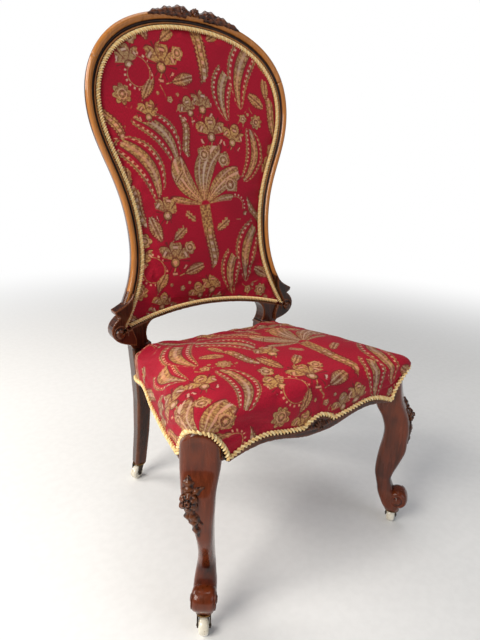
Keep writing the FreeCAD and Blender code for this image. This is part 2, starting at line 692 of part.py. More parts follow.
def seat_cover(leg_room, groove):
    lift = CORD_R + SEAT_GAP
    low = RAIL_LOW_Z - 8
    outer = seat_body(0.0, lambda y: low).fuse(rear_tongue(0.0, lambda y: rail_top(y) - 34))
    inner = seat_body(COVER_T, lambda y: low - 5).fuse(rear_tongue(COVER_T, lambda y: rail_top(y) - 40))
    knee = knee_window(lift)
    under = under_gimp(lift, SEAT_FRONT_Y - 40, SEAT_FRONT_Y + 40)
    start, rail_back = SEAT_REAR_Y - 40, REAR_RAIL_Y + REAR_RAIL_T + SEAT_GAP
    side = [V(rail_line(start) + SEAT_GAP, start, 0), V(rail_line(LEG_FACE_Y) + SEAT_GAP, LEG_FACE_Y, 0)]
    middle = [V(LEG_INNER_X, start, 0), V(LEG_INNER_X, rail_back, 0)]
    over = [sloping_block(both_sides(half), low - 5, SEAT_GAP) for half in (side, middle)]
    shell = outer.cut(inner).cut([knee, mirrored(knee), under, under_side(lift)] + over)
    return largest(largest(shell).cut([leg_room, mirrored(leg_room), groove]))


def seat_stuffing(leg_room):
    skin = COVER_T + SEAT_GAP
    def over_rails(y):
        return rail_top(y) + 2 * SEAT_GAP + CANVAS_T
    padding = seat_body(skin, over_rails, False).fuse(rear_tongue(skin, over_rails))
    return largest(padding.cut([leg_room, mirrored(leg_room)]))


def cord(points, outward, radius=CORD_R, sides=6):
    """A cord through mitred rings; outward gives each point's direction off the surface."""
    rings = []
    last = len(points) - 1
    for i, p in enumerate(points):
        along = points[min(i + 1, last)] - points[max(i - 1, 0)]
        along.normalize()
        aside = along.cross(outward[i]).normalize()
        off = aside.cross(along)
        angles = [2 * math.pi * k / sides for k in range(sides)]
        rings.append([p + off * (radius * math.cos(a)) + aside * (radius * math.sin(a)) for a in angles])
    return stack(rings)


def back_gimp(gap=0.0):
    """One cord round the panel and one along its arch, laid against it at both corners."""
    places = STATIONS + [2 * CREST - s for s in reversed(STATIONS)]
    front = V(0, -1, 0)
    around = cord([on_back(p, 0.0, 0.0) for p in places], [front] * len(places), CORD_R + gap)
    half = BACK_CORNER_X - 3 * CORD_R
    xs = [half - 2 * half * i / 8 for i in range(9)]
    lower = [V(x, back_y(x, arch_z(x, 0)), arch_z(x, 0)) for x in xs]
    return [around, cord(lower, [front] * len(xs), CORD_R + gap)]


def seat_gimp(gap=0.0):
    """One cord from rear leg to rear leg: side, knee, serpentine front, knee, side.

    A gap gives the groove that the wood and the cover leave for it.
    """
    stand = 0.8
    points, outward = [], []
    for y in (SEAT_REAR_Y - 6, 122, 104, 88, 70, 50, 25, -10, -50, -90, -130):
        p = plan_at(y=y)
        points.append(V(p.x + stand, p.y, side_gimp_z(y)))
        outward.append(V(1, 0, 0))
    arch = list(reversed(knee_arch(10)))
    for i, p in enumerate(arch):
        along = arch[min(i + 1, 10)] - arch[max(i - 1, 0)]
        out = V(-along.y, along.x, 0).normalize()
        out = out if out.dot(V(LEG_X, LEG_Y, 0)) > 0 else out * -1
        points.append(p + out * stand)
        outward.append(out)
    for p in gimp_run()[1:]:
        points.append(V(p.x, plan_at(x=p.x).y - stand, p.z))
        outward.append(V(0, -1, 0))
    mirror = [V(-p.x, p.y, p.z) for p in reversed(points[:-1])]
    mirror_out = [V(-p.x, p.y, p.z) for p in reversed(outward[:-1])]
    return cord(points + mirror, outward + mirror_out, CORD_R + gap)


# Front legs

def leg_ring(z, inner, outer, middle, width, roundness):
    """A round cornered slice through the leg, level with the floor."""
    r = roundness * min(width, outer - inner) / 2
    w = width / 2
    ring = []
    for sx, sy in ((1, 1), (-1, 1), (-1, -1), (1, -1)):
        edge = outer if sx > 0 else inner
        cx, cy = edge - sx * r, sy * (w - r)
        bits = [(cx + sx * r, cy), (cx + sx * r * 0.7071, cy + sy * r * 0.7071), (cx, cy + sy * r)]
        if sx * sy < 0:
            bits.reverse()
        ring += [diagonal(a, middle + b, z) for a, b in bits]
    return ring


# Height, inner face, outer face, middle and width across, and roundness of each slice
LEG_SLICES = (
    (FOOT_Z, 18, 43, 2, 28, 0.75), (47, 11, 45, 2, 34, 0.75), (60, 4.5, 43, 2, 37, 0.75), (78, -3, 34, 2, 37, 0.8),
    (92, -6, 26, 2, 34, 0.85), (108, -10, 21, 1.5, 30, 0.85), (122, -13, 23, 1.5, 27, 0.85),
    (145, -13, 31, 1.5, 25.5, 0.85), (175, -10, 40.5, 2.5, 26.5, 0.8), (200, -6.5, 41.5, 5.5, 33, 0.8),
    (225, -7, 42, 9.5, 43, 0.75), (250, -15.5, 37.5, 13, 52, 0.7), (270, -27, 30, 13, 58, 0.7),
    (290, -30, 21.5, 12.5, 63, 0.7), (312, -32, 17, 13, 63, 0.7), (332, -34, 15, 13, 62, 0.7),
    (POST_TOP_Z, -34, 17, 13, 58, 0.7),
)


def leg_body(gap=0.0):
    """The right cabriole leg from foot to post, or the room that it needs with a gap round it."""
    rings = []
    for z, inner, outer, middle, width, roundness in LEG_SLICES:
        lift = gap if z == POST_TOP_Z else 0
        rings.append(leg_ring(z + lift, inner - gap, outer + gap, middle, width + 2 * gap, roundness))
    return stack(rings)


def front_leg():
    """Right cabriole leg: its body and the scroll that ends the toe."""
    body = leg_body()
    aside = leg_directions()[1]
    centre = diagonal(SCROLL_OUT, FRONT_FOOT_ASIDE, SCROLL_Z)
    half = SCROLL_W / 2
    outwards = leg_directions()[0]
    rings = []
    for radius, shift in ((7.5, -half - 3.5), (8, -half), (SCROLL_R - 3.5, -half), (SCROLL_R - 0.8, 4 - half),
                          (SCROLL_R, 0), (SCROLL_R - 0.8, half - 4), (SCROLL_R - 3.5, half), (8, half),
                          (7.5, half + 3.5)):
        angles = [2 * math.pi * (k + 0.5) / 18 for k in range(18)]
        rings.append([centre + aside * shift + outwards * (radius * math.cos(a)) + UP * (radius * math.sin(a))
                      for a in angles])
    drum = stack(rings)
    return body.fuse(drum)


# Seat frame

def rail_line(y):
    """Side face of the right side rail at a depth, a little inside the straight padded side."""
    slope = (SEAT_SIDE_X - 2 - SEAT_REAR_X) / (SEAT_REAR_Y - SEAT_FRONT_Y - 65)
    return SEAT_REAR_X - RAIL_INSET + slope * (SEAT_REAR_Y - y)


LEG_FACE_Y = BACK_LOW_Y - BACK_BOW * (REAR_TOP_X / SHOULDER_X) ** 2 - NECK_PROUD
FRONT_FACE_Y = SEAT_FRONT_Y + RAIL_INSET
TENON_Z = WEB_LEDGE_Z + 1 + TENON_H / 2


def tenon(x0, x1, y0, y1, gap=0.0):
    return box(x0, x1, y0, y1, TENON_Z - TENON_H / 2 - gap, TENON_Z + TENON_H / 2 + gap)


def rear_leg_tenon(gap=0.0):
    x, half = REAR_TOP_X + 7, TENON_T / 2 + gap
    return tenon(x - half, x + half, LEG_FACE_Y - 14, LEG_FACE_Y + TENON_L - 4 + gap, gap)


def front_leg_tenon(gap=0.0):
    x, half = rail_line(-185) - RAIL_T / 2, TENON_T / 2 + gap
    return tenon(x - half, x + half, -186 - gap, -140, gap)


def front_tenon(gap=0.0):
    y, half = FRONT_FACE_Y + RAIL_T / 2, TENON_T / 2 + gap
    return tenon(150, 192 + gap, y - half, y + half, gap)


def rear_tenon(gap=0.0):
    y, half = REAR_RAIL_Y + REAR_RAIL_T / 2, TENON_T / 2 + gap
    return tenon(LEG_INNER_X - 12, LEG_INNER_X + TENON_L - 6 + gap, y - half, y + half, gap)


def rail_strip(outer, inner, rear, front):
    return [V(rail_line(rear) + outer, rear, 0), V(rail_line(front) + outer, front, 0),
            V(rail_line(front) - inner, front, 0), V(rail_line(rear) - inner, rear, 0)]


def sloping_block(points, low, high):
    """A block over a plan, up to the sloping top of the rails plus a rise."""
    base = prism(polygon([V(p.x, p.y, low) for p in points]), UP * (RAIL_TOP_Z + 60 - low))
    y0, y1 = -320.0, 320.0
    side = [V(-320, y0, low - 5), V(-320, y1, low - 5), V(-320, y1, rail_top(y1) + high),
            V(-320, y0, rail_top(y0) + high)]
    return base.common(prism(polygon(side), V(640, 0, 0)))


def side_rail(leg, upright):
    rear, front = SEAT_REAR_Y + 10, SEAT_FRONT_Y + 30
    lower_in = RAIL_T - WEB_LEDGE_W
    low = RAIL_LOW_Z - 20
    upper = sloping_block(rail_strip(0, RAIL_T, rear, front), WEB_LEDGE_Z, 0.0)
    lower = sloping_block(rail_strip(0, lower_in, rear, front), low, -5.0)
    lip = sloping_block(rail_strip(RAIL_INSET, lower_in, rear, front), low, -5.0)
    lip = lip.common(under_side(-CORD_R - SEAT_GAP))
    rail = joined([upper, lower, lip]).cut(under_side(-CORD_R - SEAT_GAP - SIDE_LIP))
    rail = largest(rail.cut([box(0, 300, LEG_FACE_Y - GLUE_GAP, 300, 200, 400), leg, upright]))
    return joined([rail, rear_leg_tenon().cut(upright), front_leg_tenon().cut(leg)])


def front_rail(leg):
    face, back = FRONT_FACE_Y, FRONT_FACE_Y + RAIL_T
    span = FRONT_END_X + 20
    board = box(-span, span, face, back - WEB_LEDGE_W, RAIL_LOW_Z - 10, RAIL_TOP_Z)
    ledge = box(-span, span, back - WEB_LEDGE_W - 1, back, WEB_LEDGE_Z + 3, RAIL_TOP_Z)
    lip = box(-FRONT_END_X, FRONT_END_X, SEAT_FRONT_Y - 1.5, face + 2, RAIL_LOW_Z - 10, RAIL_TOP_Z)
    lip = lip.common(under_gimp(-CORD_R - SEAT_GAP, face - 30, face + 60))
    ends = box(FRONT_END_X - 0.5, span + 5, face - 30, face + 60, RAIL_LOW_Z - 60, FRONT_END_Z - 6)
    rail = joined([board, lip, ledge]).cut([under_rail(face - 30, face + 60), leg, mirrored(leg), ends, mirrored(ends)])
    plan = [V(-span, face - 30, 0), V(span, face - 30, 0), V(span, back + 5, 0), V(-span, back + 5, 0)]
    rail = largest(rail.common(sloping_block(plan, RAIL_LOW_Z - 20, 0)))
    side = front_tenon()
    return joined([rail, side.cut(leg), mirrored(side).cut(mirrored(leg))])


def rear_rail(upright):
    inner = LEG_INNER_X
    face, back = REAR_RAIL_Y, REAR_RAIL_Y + REAR_RAIL_T
    body = sloping_block([V(-inner, face, 0), V(inner, face, 0), V(inner, back, 0), V(-inner, back, 0)], RAIL_LOW_Z + 6, 0)
    ledge = box(-inner, inner, face - 1, face + WEB_LEDGE_W, RAIL_LOW_Z - 20, WEB_LEDGE_Z)
    side = rear_tenon()
    low = RAIL_LOW_Z + 6
    eased = box(inner - SHOULDER_EASE, inner + 5, face - 5, back + 5, low - 1, low + SHOULDER_EASE / 2)
    body = largest(body.cut([ledge, upright, mirrored(upright), eased, mirrored(eased)]))
    return joined([body, side.cut(upright), mirrored(side.cut(upright))])


def corner_blocks(leg, upright):
    """Glued blocks in the right hand corners: the front one, then the rear one."""
    face = FRONT_FACE_Y + RAIL_T
    z0, z1 = WEB_LEDGE_Z + 3, RAIL_TOP_Z - RAIL_FALL - 2
    front = [V(132, face, z0), V(rail_line(face) - RAIL_T, face, z0), V(rail_line(face + 70) - RAIL_T, face + 70, z0)]
    rear = [V(98, REAR_RAIL_Y, z0), V(rail_line(REAR_RAIL_Y) - RAIL_T, REAR_RAIL_Y, z0),
            V(rail_line(98) - RAIL_T, 98, z0)]
    return [largest(prism(polygon(ring), V(0, 0, z1 - z0)).cut([leg, upright])) for ring in (front, rear)]


# Seat suspension

def seat_webbing():
    """Eight woven straps in two layers under the frame."""
    top = WEB_LEDGE_Z - SEAT_GAP
    half_w = WEB_WIDTH / 2
    front, rear = FRONT_FACE_Y + RAIL_T - WEB_LEDGE_W + 1, REAR_RAIL_Y + WEB_LEDGE_W - 1
    straps = [box(x - half_w, x + half_w, front, rear, top - WEB_T, top) for x in (-111, -37, 37, 111)]
    low = top - WEB_T - SEAT_GAP
    for y in (-133, -58, 17, 92):
        half = rail_line(y + half_w) - RAIL_T + WEB_LEDGE_W - 1
        straps.append(box(-half, half, y - half_w, y + half_w, low - WEB_T, low))
    return straps


def inside_sheet(z0, z1, inset):
    """A sheet inside the lower part of the rails and between the legs."""
    front, rear = FRONT_FACE_Y + RAIL_T - WEB_LEDGE_W + inset, REAR_RAIL_Y + WEB_LEDGE_W - inset
    inner = RAIL_T - WEB_LEDGE_W + inset
    half = [V(LEG_INNER_X - 8, rear, z0), V(LEG_INNER_X - 8, LEG_FACE_Y - 6, z0),
            V(rail_line(LEG_FACE_Y) - inner, LEG_FACE_Y - 6, z0), V(rail_line(-150) - inner, -150, z0),
            V(FRONT_END_X - 20, -160, z0), V(FRONT_END_X - 30, front, z0)]
    return prism(polygon(both_sides(half)), V(0, 0, z1 - z0))


def over_sheet(low, thick, inset):
    """A sheet laid on the sloping top of the rails."""
    front = FRONT_FACE_Y + inset
    half = [(LEG_INNER_X - 2, REAR_RAIL_Y + REAR_RAIL_T - inset), (LEG_INNER_X - 2, LEG_FACE_Y - 6),
            (rail_line(LEG_FACE_Y) - inset, LEG_FACE_Y - 6), (rail_line(-180) - inset, -180), (FRONT_END_X, front)]
    ring = both_sides([V(x, y, rail_top(y) + low) for x, y in half])
    return prism(polygon(ring), UP * thick)


def spring(x, y, low, high):
    """A waisted coil spring of square section, in mitred rings."""
    turns, sides, half = 3, 6, SPRING_WIRE / 2
    count = turns * sides
    rings = []
    for i in range(count + 1):
        t = i / count
        radius = SPRING_WAIST_R + (SPRING_R - SPRING_WAIST_R) * (2 * t - 1) ** 2
        angle = 2 * math.pi * i / sides
        outward = V(math.cos(angle), math.sin(angle), 0)
        middle = V(x, y, low + half + (high - low - 2 * half) * t) + outward * radius
        rings.append([middle + outward * a + UP * b for a, b in ((half, half), (half, -half), (-half, -half),
                                                                (-half, half))])
    return stack(rings)


def seat_springs():
    places = [(-74, 75), (74, 75), (-92, -115), (92, -115), (0, -20)]
    return [spring(x, y, WEB_LEDGE_Z, rail_top(y + SPRING_R)) for x, y in places]


# Applied carving

def lobe(centre, across, up, out, half_w, half_h, height, sides=8):
    """One swelling lobe of carving: rings that close in as they stand off the wood."""
    rings = []
    for size, lift in ((1.0, 0.0), (1.0, 0.3), (0.78, 0.78), (0.4, 1.0)):
        ring = []
        for k in range(sides):
            a = 2 * math.pi * (k + 0.5) / sides
            ring.append(centre + across * (half_w * size * math.cos(a)) + up * (half_h * size * math.sin(a))
                        + out * (height * lift))
        rings.append(ring)
    return stack(rings)


def crest_carving():
    """Leafy cresting: a scalloped comb along the crest with leaves on its front."""
    first = CREST_LEAVES[-1][0] - 0.06
    places = [first + 2 * (CREST - first) * i / 22 for i in range(23)]
    rings = []
    for i, place in enumerate(places):
        near = 1 - abs(place - CREST) / (CREST - first)
        rise = 2.0 + CREST_RISE * near ** 0.8 * (0.8 + 0.2 * math.cos(math.pi * i))
        rings.append([on_back(place, FRAME_BAND + CREST_WIDER + out, behind) for out, behind in (
            (0.1, -BEAD_PROUD - 4), (rise - 1.5, -BEAD_PROUD - 4), (rise, -BEAD_PROUD), (rise, 4), (0.1, 8))])
    leaves = [stack(rings)]
    for place, half_w, half_h in CREST_LEAVES:
        for sign in (1, -1) if place < CREST else (1,):
            x, z = outline(place, FRAME_BAND + CREST_WIDER + 1.5 - half_h / 2)
            _, (tx, tz) = bezier(OUTLINE[2], min(place - 2, 0.999))
            along = V(-tx * sign, 0, -tz)
            centre = V(sign * x, back_y(x, z) - BEAD_PROUD - 1.2, z)
            away = V(-along.z, 0, along.x)
            leaves.append(lobe(centre, along, away, V(0, -1, 0), half_w, half_h, 6.5))
    return joined(leaves)


def knee_carving(leg_room):
    """A carved pendant down the right knee, one lobe on each stretch of its face."""
    _, aside = leg_directions()
    turn = math.radians(LEG_TURN - CARVING_TURN)
    out = V(math.cos(turn), -math.sin(turn), 0)
    across = V(-out.y, out.x, 0)
    marks = []
    for z, inner, outer, middle, width, roundness in LEG_SLICES:
        if 195 < z < 295:
            r = roundness * min(width, outer - inner) / 2
            angle = math.radians(CARVING_TURN)
            reach = ((outer - inner) / 2 - r) * math.cos(angle) + (width / 2 - r) * math.sin(angle) + r
            marks.append(diagonal((inner + outer) / 2, middle, z) + out * (reach + SEAT_GAP))
    lobes = []
    for low, high, half_w in zip(marks, marks[1:], (7, 10, 13, 11)):
        up = (high - low).normalize()
        off = across.cross(up).normalize()
        off = off if off.dot(out) > 0 else off * -1
        half_h = (high - low).Length / 2 - 0.6
        raised = lobe((low + high) * 0.5 - off * CARVING_SUNK, across, up, off, half_w, half_h, CARVING_SUNK + 5.5)
        lobes.append(largest(raised.cut(leg_room)))
    return Part.makeCompound(lobes)


def rail_carving():
    """The small cartouche in the middle of the front rail."""
    y = SEAT_FRONT_Y - 1.5 - SEAT_GAP
    out = V(0, -1, 0)
    lobes = [lobe(xz(x, z, y), V(1, 0, 0), UP, out, w, h, deep)
             for x, z, w, h, deep in ((0, 302, 13, 10.5, 6), (20, 297, 12, 5.5, 4.5), (-20, 297, 12, 5.5, 4.5))]
    return joined(lobes)


# Castors

def castor(centre, heading):
    """The five pieces of a castor under a foot, its wheel trailing along the heading."""
    ahead = V(math.cos(math.radians(heading)), math.sin(math.radians(heading)), 0)
    aside = V(-ahead.y, ahead.x, 0)
    base = V(centre[0], centre[1], 0)
    hub = base + ahead * TRAIL + UP * WHEEL_R
    plate_low = FOOT_Z - PLATE_T
    fork_low = FORK_TOP_Z - FORK_T
    head_low = fork_low - SEAT_GAP - HEAD_T
    rim = [V(PLATE_R * math.cos(a), PLATE_R * math.sin(a), plate_low)
           for a in [2 * math.pi * k / 20 for k in range(20)]]
    head = [V(p.x, p.y, 0) * ((PIN_R + 1.4) / PLATE_R) + UP * head_low for p in rim[::2]]
    plate = joined([prism(polygon(rim), UP * PLATE_T), disc(PIN_R, plate_low - head_low, UP * head_low),
                    prism(polygon(head), UP * HEAD_T)])
    plate.translate(base)
    holes, screws = [], []
    for i in range(3):
        a = math.radians(heading + 60 + 120 * i)
        at = base + V(math.cos(a), math.sin(a), 0) * (0.7 * PLATE_R) + UP * (plate_low - 0.1)
        ring = [at + V(SCREW_R * math.cos(b), SCREW_R * math.sin(b), 0)
                for b in [math.radians(60 * k) for k in range(6)]]
        wide = [at + (p - at) * (1 + GLUE_GAP / SCREW_R) - UP for p in ring]
        screws.append(prism(polygon(ring), UP * SCREW_L))
        holes.append(prism(polygon(wide), UP * (SCREW_L + 1 + GLUE_GAP)))
    plate = plate.cut(holes)
    inside = WHEEL_W / 2 + 0.6
    arm_out = inside + FORK_T
    deck = [base - ahead * 6 - aside * arm_out, base + ahead * (TRAIL + 1.5) - aside * arm_out,
            base + ahead * (TRAIL + 1.5) + aside * arm_out, base - ahead * 6 + aside * arm_out]
    solids = [prism(polygon([p + UP * fork_low for p in deck]), UP * FORK_T)]
    arm = [base - ahead * 4 + UP * FORK_TOP_Z, base + ahead * (TRAIL + 1.5) + UP * FORK_TOP_Z,
           hub + ahead * 4.2 + UP * 1.5, hub + ahead * 2.5 - UP * 4.0, hub - ahead * 2.5 - UP * 4.0,
           hub - ahead * 5.5 + UP * 2.5]
    for start in (inside, -arm_out):
        solids.append(prism(polygon([p + aside * start for p in arm]), aside * FORK_T))
    fork = joined(solids).cut([disc(PIN_R + RUN_GAP, 20, base + UP * (fork_low - 5)),
                               rod((AXLE_R + GLUE_GAP) / math.cos(math.pi / 8), 60, hub - aside * 30, aside)])
    axle = disc(AXLE_R, 2 * arm_out + 1.6, hub - aside * (arm_out + 0.8), aside)
    side = WHEEL_W / 2
    rings = []
    for radius, shift in ((WHEEL_R - 3.2, -side), (WHEEL_R - 0.7, 3.0 - side), (WHEEL_R, 5.5 - side),
                          (WHEEL_R, side - 5.5), (WHEEL_R - 0.7, side - 3.0), (WHEEL_R - 3.2, side)):
        angles = [2 * math.pi * k / WHEEL_SIDES for k in range(WHEEL_SIDES)]
        rings.append([hub + aside * shift + ahead * (radius * math.sin(a)) - UP * (radius * math.cos(a))
                      for a in angles])
    wheel = stack(rings).cut(disc(AXLE_R + RUN_GAP, 2 * WHEEL_W, hub - aside * WHEEL_W, aside))
    return {"plate": plate, "screws": Part.makeCompound(screws), "fork": fork, "axle": axle, "wheel": wheel}, holes


def foot_centre():
    spot = diagonal(FRONT_FOOT_OUT, FRONT_FOOT_ASIDE, 0)
    return spot.x, spot.y


def save(name, shape):
    shape.exportStep(os.path.join("parts", name + ".step"))
    print("%-26s solids %2d valid %s volume %9.0f" % (name, len(shape.Solids), shape.isValid(), shape.Volume))


def build():
    os.makedirs("parts", exist_ok=True)
    parts = {}
    foot_x, foot_y = foot_centre()
    castors = {
        "front_left": ((-foot_x, foot_y), FRONT_LEFT_HEADING), "front_right": ((foot_x, foot_y), FRONT_RIGHT_HEADING),
        "rear_left": ((-REAR_FOOT_X, REAR_FOOT_Y), REAR_LEFT_HEADING),
        "rear_right": ((REAR_FOOT_X, REAR_FOOT_Y), REAR_RIGHT_HEADING),
    }
    pilot = {}
    for corner, (centre, heading) in castors.items():
        pieces, holes = castor(centre, heading)
        pilot[corner] = holes
        for piece, shape in pieces.items():
            parts["%s_castor_%s" % (corner, piece)] = shape

    leg = front_leg()
    plain_upright = joined([rear_leg().fuse(neck()).cut(frame_rebates()), band(STATIONS[:14])])
    sockets = crest_dowels(GLUE_GAP) + [lower_rail_tenon(GLUE_GAP), rear_tenon(GLUE_GAP), rear_leg_tenon(GLUE_GAP)]
    upright = plain_upright.cut(sockets)
    leg_room, groove = leg_body(SEAT_GAP), seat_gimp(SEAT_GAP)
    cut_leg = largest(leg.cut([front_leg_tenon(GLUE_GAP), front_tenon(GLUE_GAP), groove]))
    parts["right_back_upright"] = upright.cut(pilot["rear_right"])
    parts["left_back_upright"] = mirrored(upright).cut(pilot["rear_left"])
    parts["right_front_leg"] = cut_leg.cut(pilot["front_right"])
    parts["left_front_leg"] = mirrored(cut_leg).cut(pilot["front_left"])
    scroll = largest(ear().cut([plain_upright, panel_layer(REBATE_OUT, -30, FRAME_DEPTH)]))
    parts["right_ear_scroll"] = scroll
    parts["left_ear_scroll"] = mirrored(scroll)
    crest_run = STATIONS[13:] + [2 * CREST - s for s in reversed(STATIONS[13:])]
    crest = band(crest_run).cut(crest_dowels(GLUE_GAP))
    parts["crest_rail"] = crest
    parts["crest_dowels"] = Part.makeCompound(crest_dowels())
    parts["lower_back_rail"] = lower_rail()
    parts["front_seat_rail"] = front_rail(leg)
    parts["rear_seat_rail"] = rear_rail(upright)
    side = largest(side_rail(leg, upright).cut(groove))
    parts["right_seat_rail"] = side
    parts["left_seat_rail"] = mirrored(side)
    for name, block in zip(("front", "rear"), corner_blocks(leg, plain_upright)):
        parts["right_%s_corner_block" % name] = block
        parts["left_%s_corner_block" % name] = mirrored(block)
    parts["crest_carving"] = crest_carving()
    knee = knee_carving(leg_room)
    parts["right_knee_carving"] = knee
    parts["left_knee_carving"] = mirrored(knee)
    parts["front_rail_carving"] = rail_carving()

    inner_out = WEB_LEDGE_OUT - SEAT_GAP
    parts["back_canvas"] = panel_layer(inner_out, CANVAS_FRONT, CANVAS_FRONT + CANVAS_T)
    cushion = panel_layer(REBATE_OUT - SEAT_GAP, cushion_face, cushion_inside)
    cushion = largest(cushion.cut(back_gimp(SEAT_GAP)))
    padding = panel_layer(inner_out, padding_face, CANVAS_FRONT - SEAT_GAP)
    parts["back_stuffing"] = largest(padding.cut(cushion))
    parts["back_front_cover"] = cushion
    rear_front = REAR_LEDGE + SEAT_GAP
    parts["back_rear_cover"] = panel_layer(REAR_STEP_OUT - SEAT_GAP, rear_front, rear_front + COVER_T,
                                           ARCH_LIP - 3 - SEAT_GAP)
    parts["back_webbing"] = Part.makeCompound(back_webbing())
    parts["back_gimp_cord"] = Part.makeCompound(back_gimp())

    parts["seat_webbing"] = Part.makeCompound(seat_webbing())
    parts["seat_springs"] = Part.makeCompound(seat_springs())
    sheet_z = WEB_LEDGE_Z - 2 * WEB_T - 3 * SEAT_GAP
    parts["seat_dust_cover"] = inside_sheet(sheet_z - CANVAS_T, sheet_z, 1.0)
    cover = seat_cover(leg_room, groove)
    hessian = over_sheet(SEAT_GAP, CANVAS_T, HESSIAN_IN).cut([leg_room, mirrored(leg_room), cover])
    parts["spring_hessian"] = largest(hessian)
    parts["seat_stuffing"] = seat_stuffing(leg_room)
    parts["seat_cover"] = cover
    parts["seat_gimp_cord"] = seat_gimp()
    for name, shape in parts.items():
        save(name, shape)


if __name__ == "__main__":
    build()
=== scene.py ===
"""A balloon back nursing chair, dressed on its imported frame.

Sizes inside the classes are in millimetres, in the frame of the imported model: the
origin is on the floor, the chair faces -Y and +Z is up. Meshes are made in metres.
"""

from __future__ import annotations

import logging
import math
import random
from dataclasses import dataclass
from enum import Enum
from typing import Callable, Sequence

import bmesh
import bpy
from mathutils import Matrix, Vector


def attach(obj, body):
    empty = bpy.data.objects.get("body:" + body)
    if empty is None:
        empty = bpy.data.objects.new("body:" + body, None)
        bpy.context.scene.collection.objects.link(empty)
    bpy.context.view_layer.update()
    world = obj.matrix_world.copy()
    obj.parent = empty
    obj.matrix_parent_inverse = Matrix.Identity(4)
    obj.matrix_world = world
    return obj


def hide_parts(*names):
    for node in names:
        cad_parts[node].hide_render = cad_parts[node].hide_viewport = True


LOG = logging.getLogger("chair")
MM = 0.001
# Distances in metres under which points of one surface, and of a whole piece, become one
MEET = 1e-6
TOUCH = 2e-6
LATHE_STEPS = 48
UP = Vector((0.0, 0.0, 1.0))
FORWARD = Vector((0.0, -1.0, 0.0))
BODY = "chair"
Colour = tuple[float, float, float]
Surface = Callable[[float, float], Vector]
Mesh = bmesh.types.BMesh
Piece = bpy.types.Object
Material = bpy.types.Material
Tree = bpy.types.NodeTree
Socket = bpy.types.NodeSocket
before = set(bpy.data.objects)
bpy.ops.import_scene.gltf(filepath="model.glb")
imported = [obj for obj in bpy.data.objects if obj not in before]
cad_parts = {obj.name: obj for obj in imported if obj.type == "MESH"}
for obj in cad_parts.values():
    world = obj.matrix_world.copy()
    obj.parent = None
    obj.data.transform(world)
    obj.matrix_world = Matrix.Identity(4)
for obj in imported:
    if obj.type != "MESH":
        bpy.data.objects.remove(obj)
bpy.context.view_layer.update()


class Side(Enum):
    """The two sides of the chair, by their sign along X."""

    RIGHT = 1
    LEFT = -1

    @property
    def word(self) -> str:
        """The side's word in the names of nodes."""
        return self.name.lower()


def paint(red: int, green: int, blue: int) -> Colour:
    """Turn a screen colour into the linear colour that a shader takes.

    Args:
        red: Red, 0 to 255.
        green: Green, 0 to 255.
        blue: Blue, 0 to 255.

    Returns:
        The linear colour.
    """
    def linear(level: int) -> float:
        share = level / 255
        return share / 12.92 if share <= 0.04045 else ((share + 0.055) / 1.055) ** 2.4
    return linear(red), linear(green), linear(blue)


# Curves and small sums


def ease(value: float) -> float:
    """Go smoothly from 0 to 1 as the value does."""
    t = min(max(value, 0.0), 1.0)
    return t * t * (3 - 2 * t)


def through(points: Sequence[Sequence[float]], count: int) -> list[Vector]:
    """Run a smooth curve through points.

    Args:
        points: The points, of any number of coordinates.
        count: How many steps each span between two points gets.

    Returns:
        Points along the curve, the first and last given ones included.
    """
    pts = [Vector(p) for p in points]
    run = [pts[0] * 2 - pts[1]] + pts + [pts[-1] * 2 - pts[-2]]
    out: list[Vector] = []
    for i in range(1, len(run) - 2):
        a, b, c, d = run[i - 1:i + 3]
        for k in range(count):
            t = k / count
            out.append(0.5 * (2 * b + (c - a) * t + (2 * a - 5 * b + 4 * c - d) * t * t
                              + (3 * b - a - 3 * c + d) * t ** 3))
    out.append(pts[-1])
    return out


def mirrored(point: Vector) -> Vector:
    """Give the point on the other side of the chair."""
    return Vector((-point.x, point.y, point.z))


@dataclass
class Route:
    """A run of points with a direction off the surface at each of them."""

    points: list[Vector]
    outward: list[Vector]

    def __post_init__(self) -> None:
        """Measure the run."""
        self.marks = [0.0]
        for a, b in zip(self.points, self.points[1:]):
            self.marks.append(self.marks[-1] + (b - a).length)

    @property
    def length(self) -> float:
        """The run's length."""
        return self.marks[-1]

    def frame(self, share: float) -> tuple[Vector, Vector, Vector]:
        """Find a place on the run.

        Args:
            share: How far along the run, 0 to 1.

        Returns:
            The point, the direction off the surface and the direction across.
        """
        goal = min(max(share, 0.0), 1.0) * self.length
        low, high = 0, len(self.marks) - 1
        while high - low > 1:
            middle = (low + high) // 2
            if self.marks[middle] <= goal:
                low = middle
            else:
                high = middle
        t = (goal - self.marks[low]) / max(self.marks[high] - self.marks[low], 1e-9)
        point = self.points[low].lerp(self.points[high], t)
        before = self.points[max(low - 1, 0)]
        after = self.points[min(high + 1, len(self.points) - 1)]
        along = (self.points[high] - before).normalized().lerp((after - self.points[low]).normalized(), t)
        off = self.outward[low].lerp(self.outward[high], t)
        across = along.cross(off).normalized()
        return point, across.cross(along).normalized(), across


# Making meshes


def make_piece(name: str, shell: Mesh) -> Piece:
    """Turn a mesh in the making, in metres, into a smooth object of the scene."""
    for face in shell.faces:
        face.smooth = True
    mesh = bpy.data.meshes.new(name)
    shell.to_mesh(mesh)
    shell.free()
    piece = bpy.data.objects.new(name, mesh)
    bpy.context.scene.collection.objects.link(piece)
    return piece


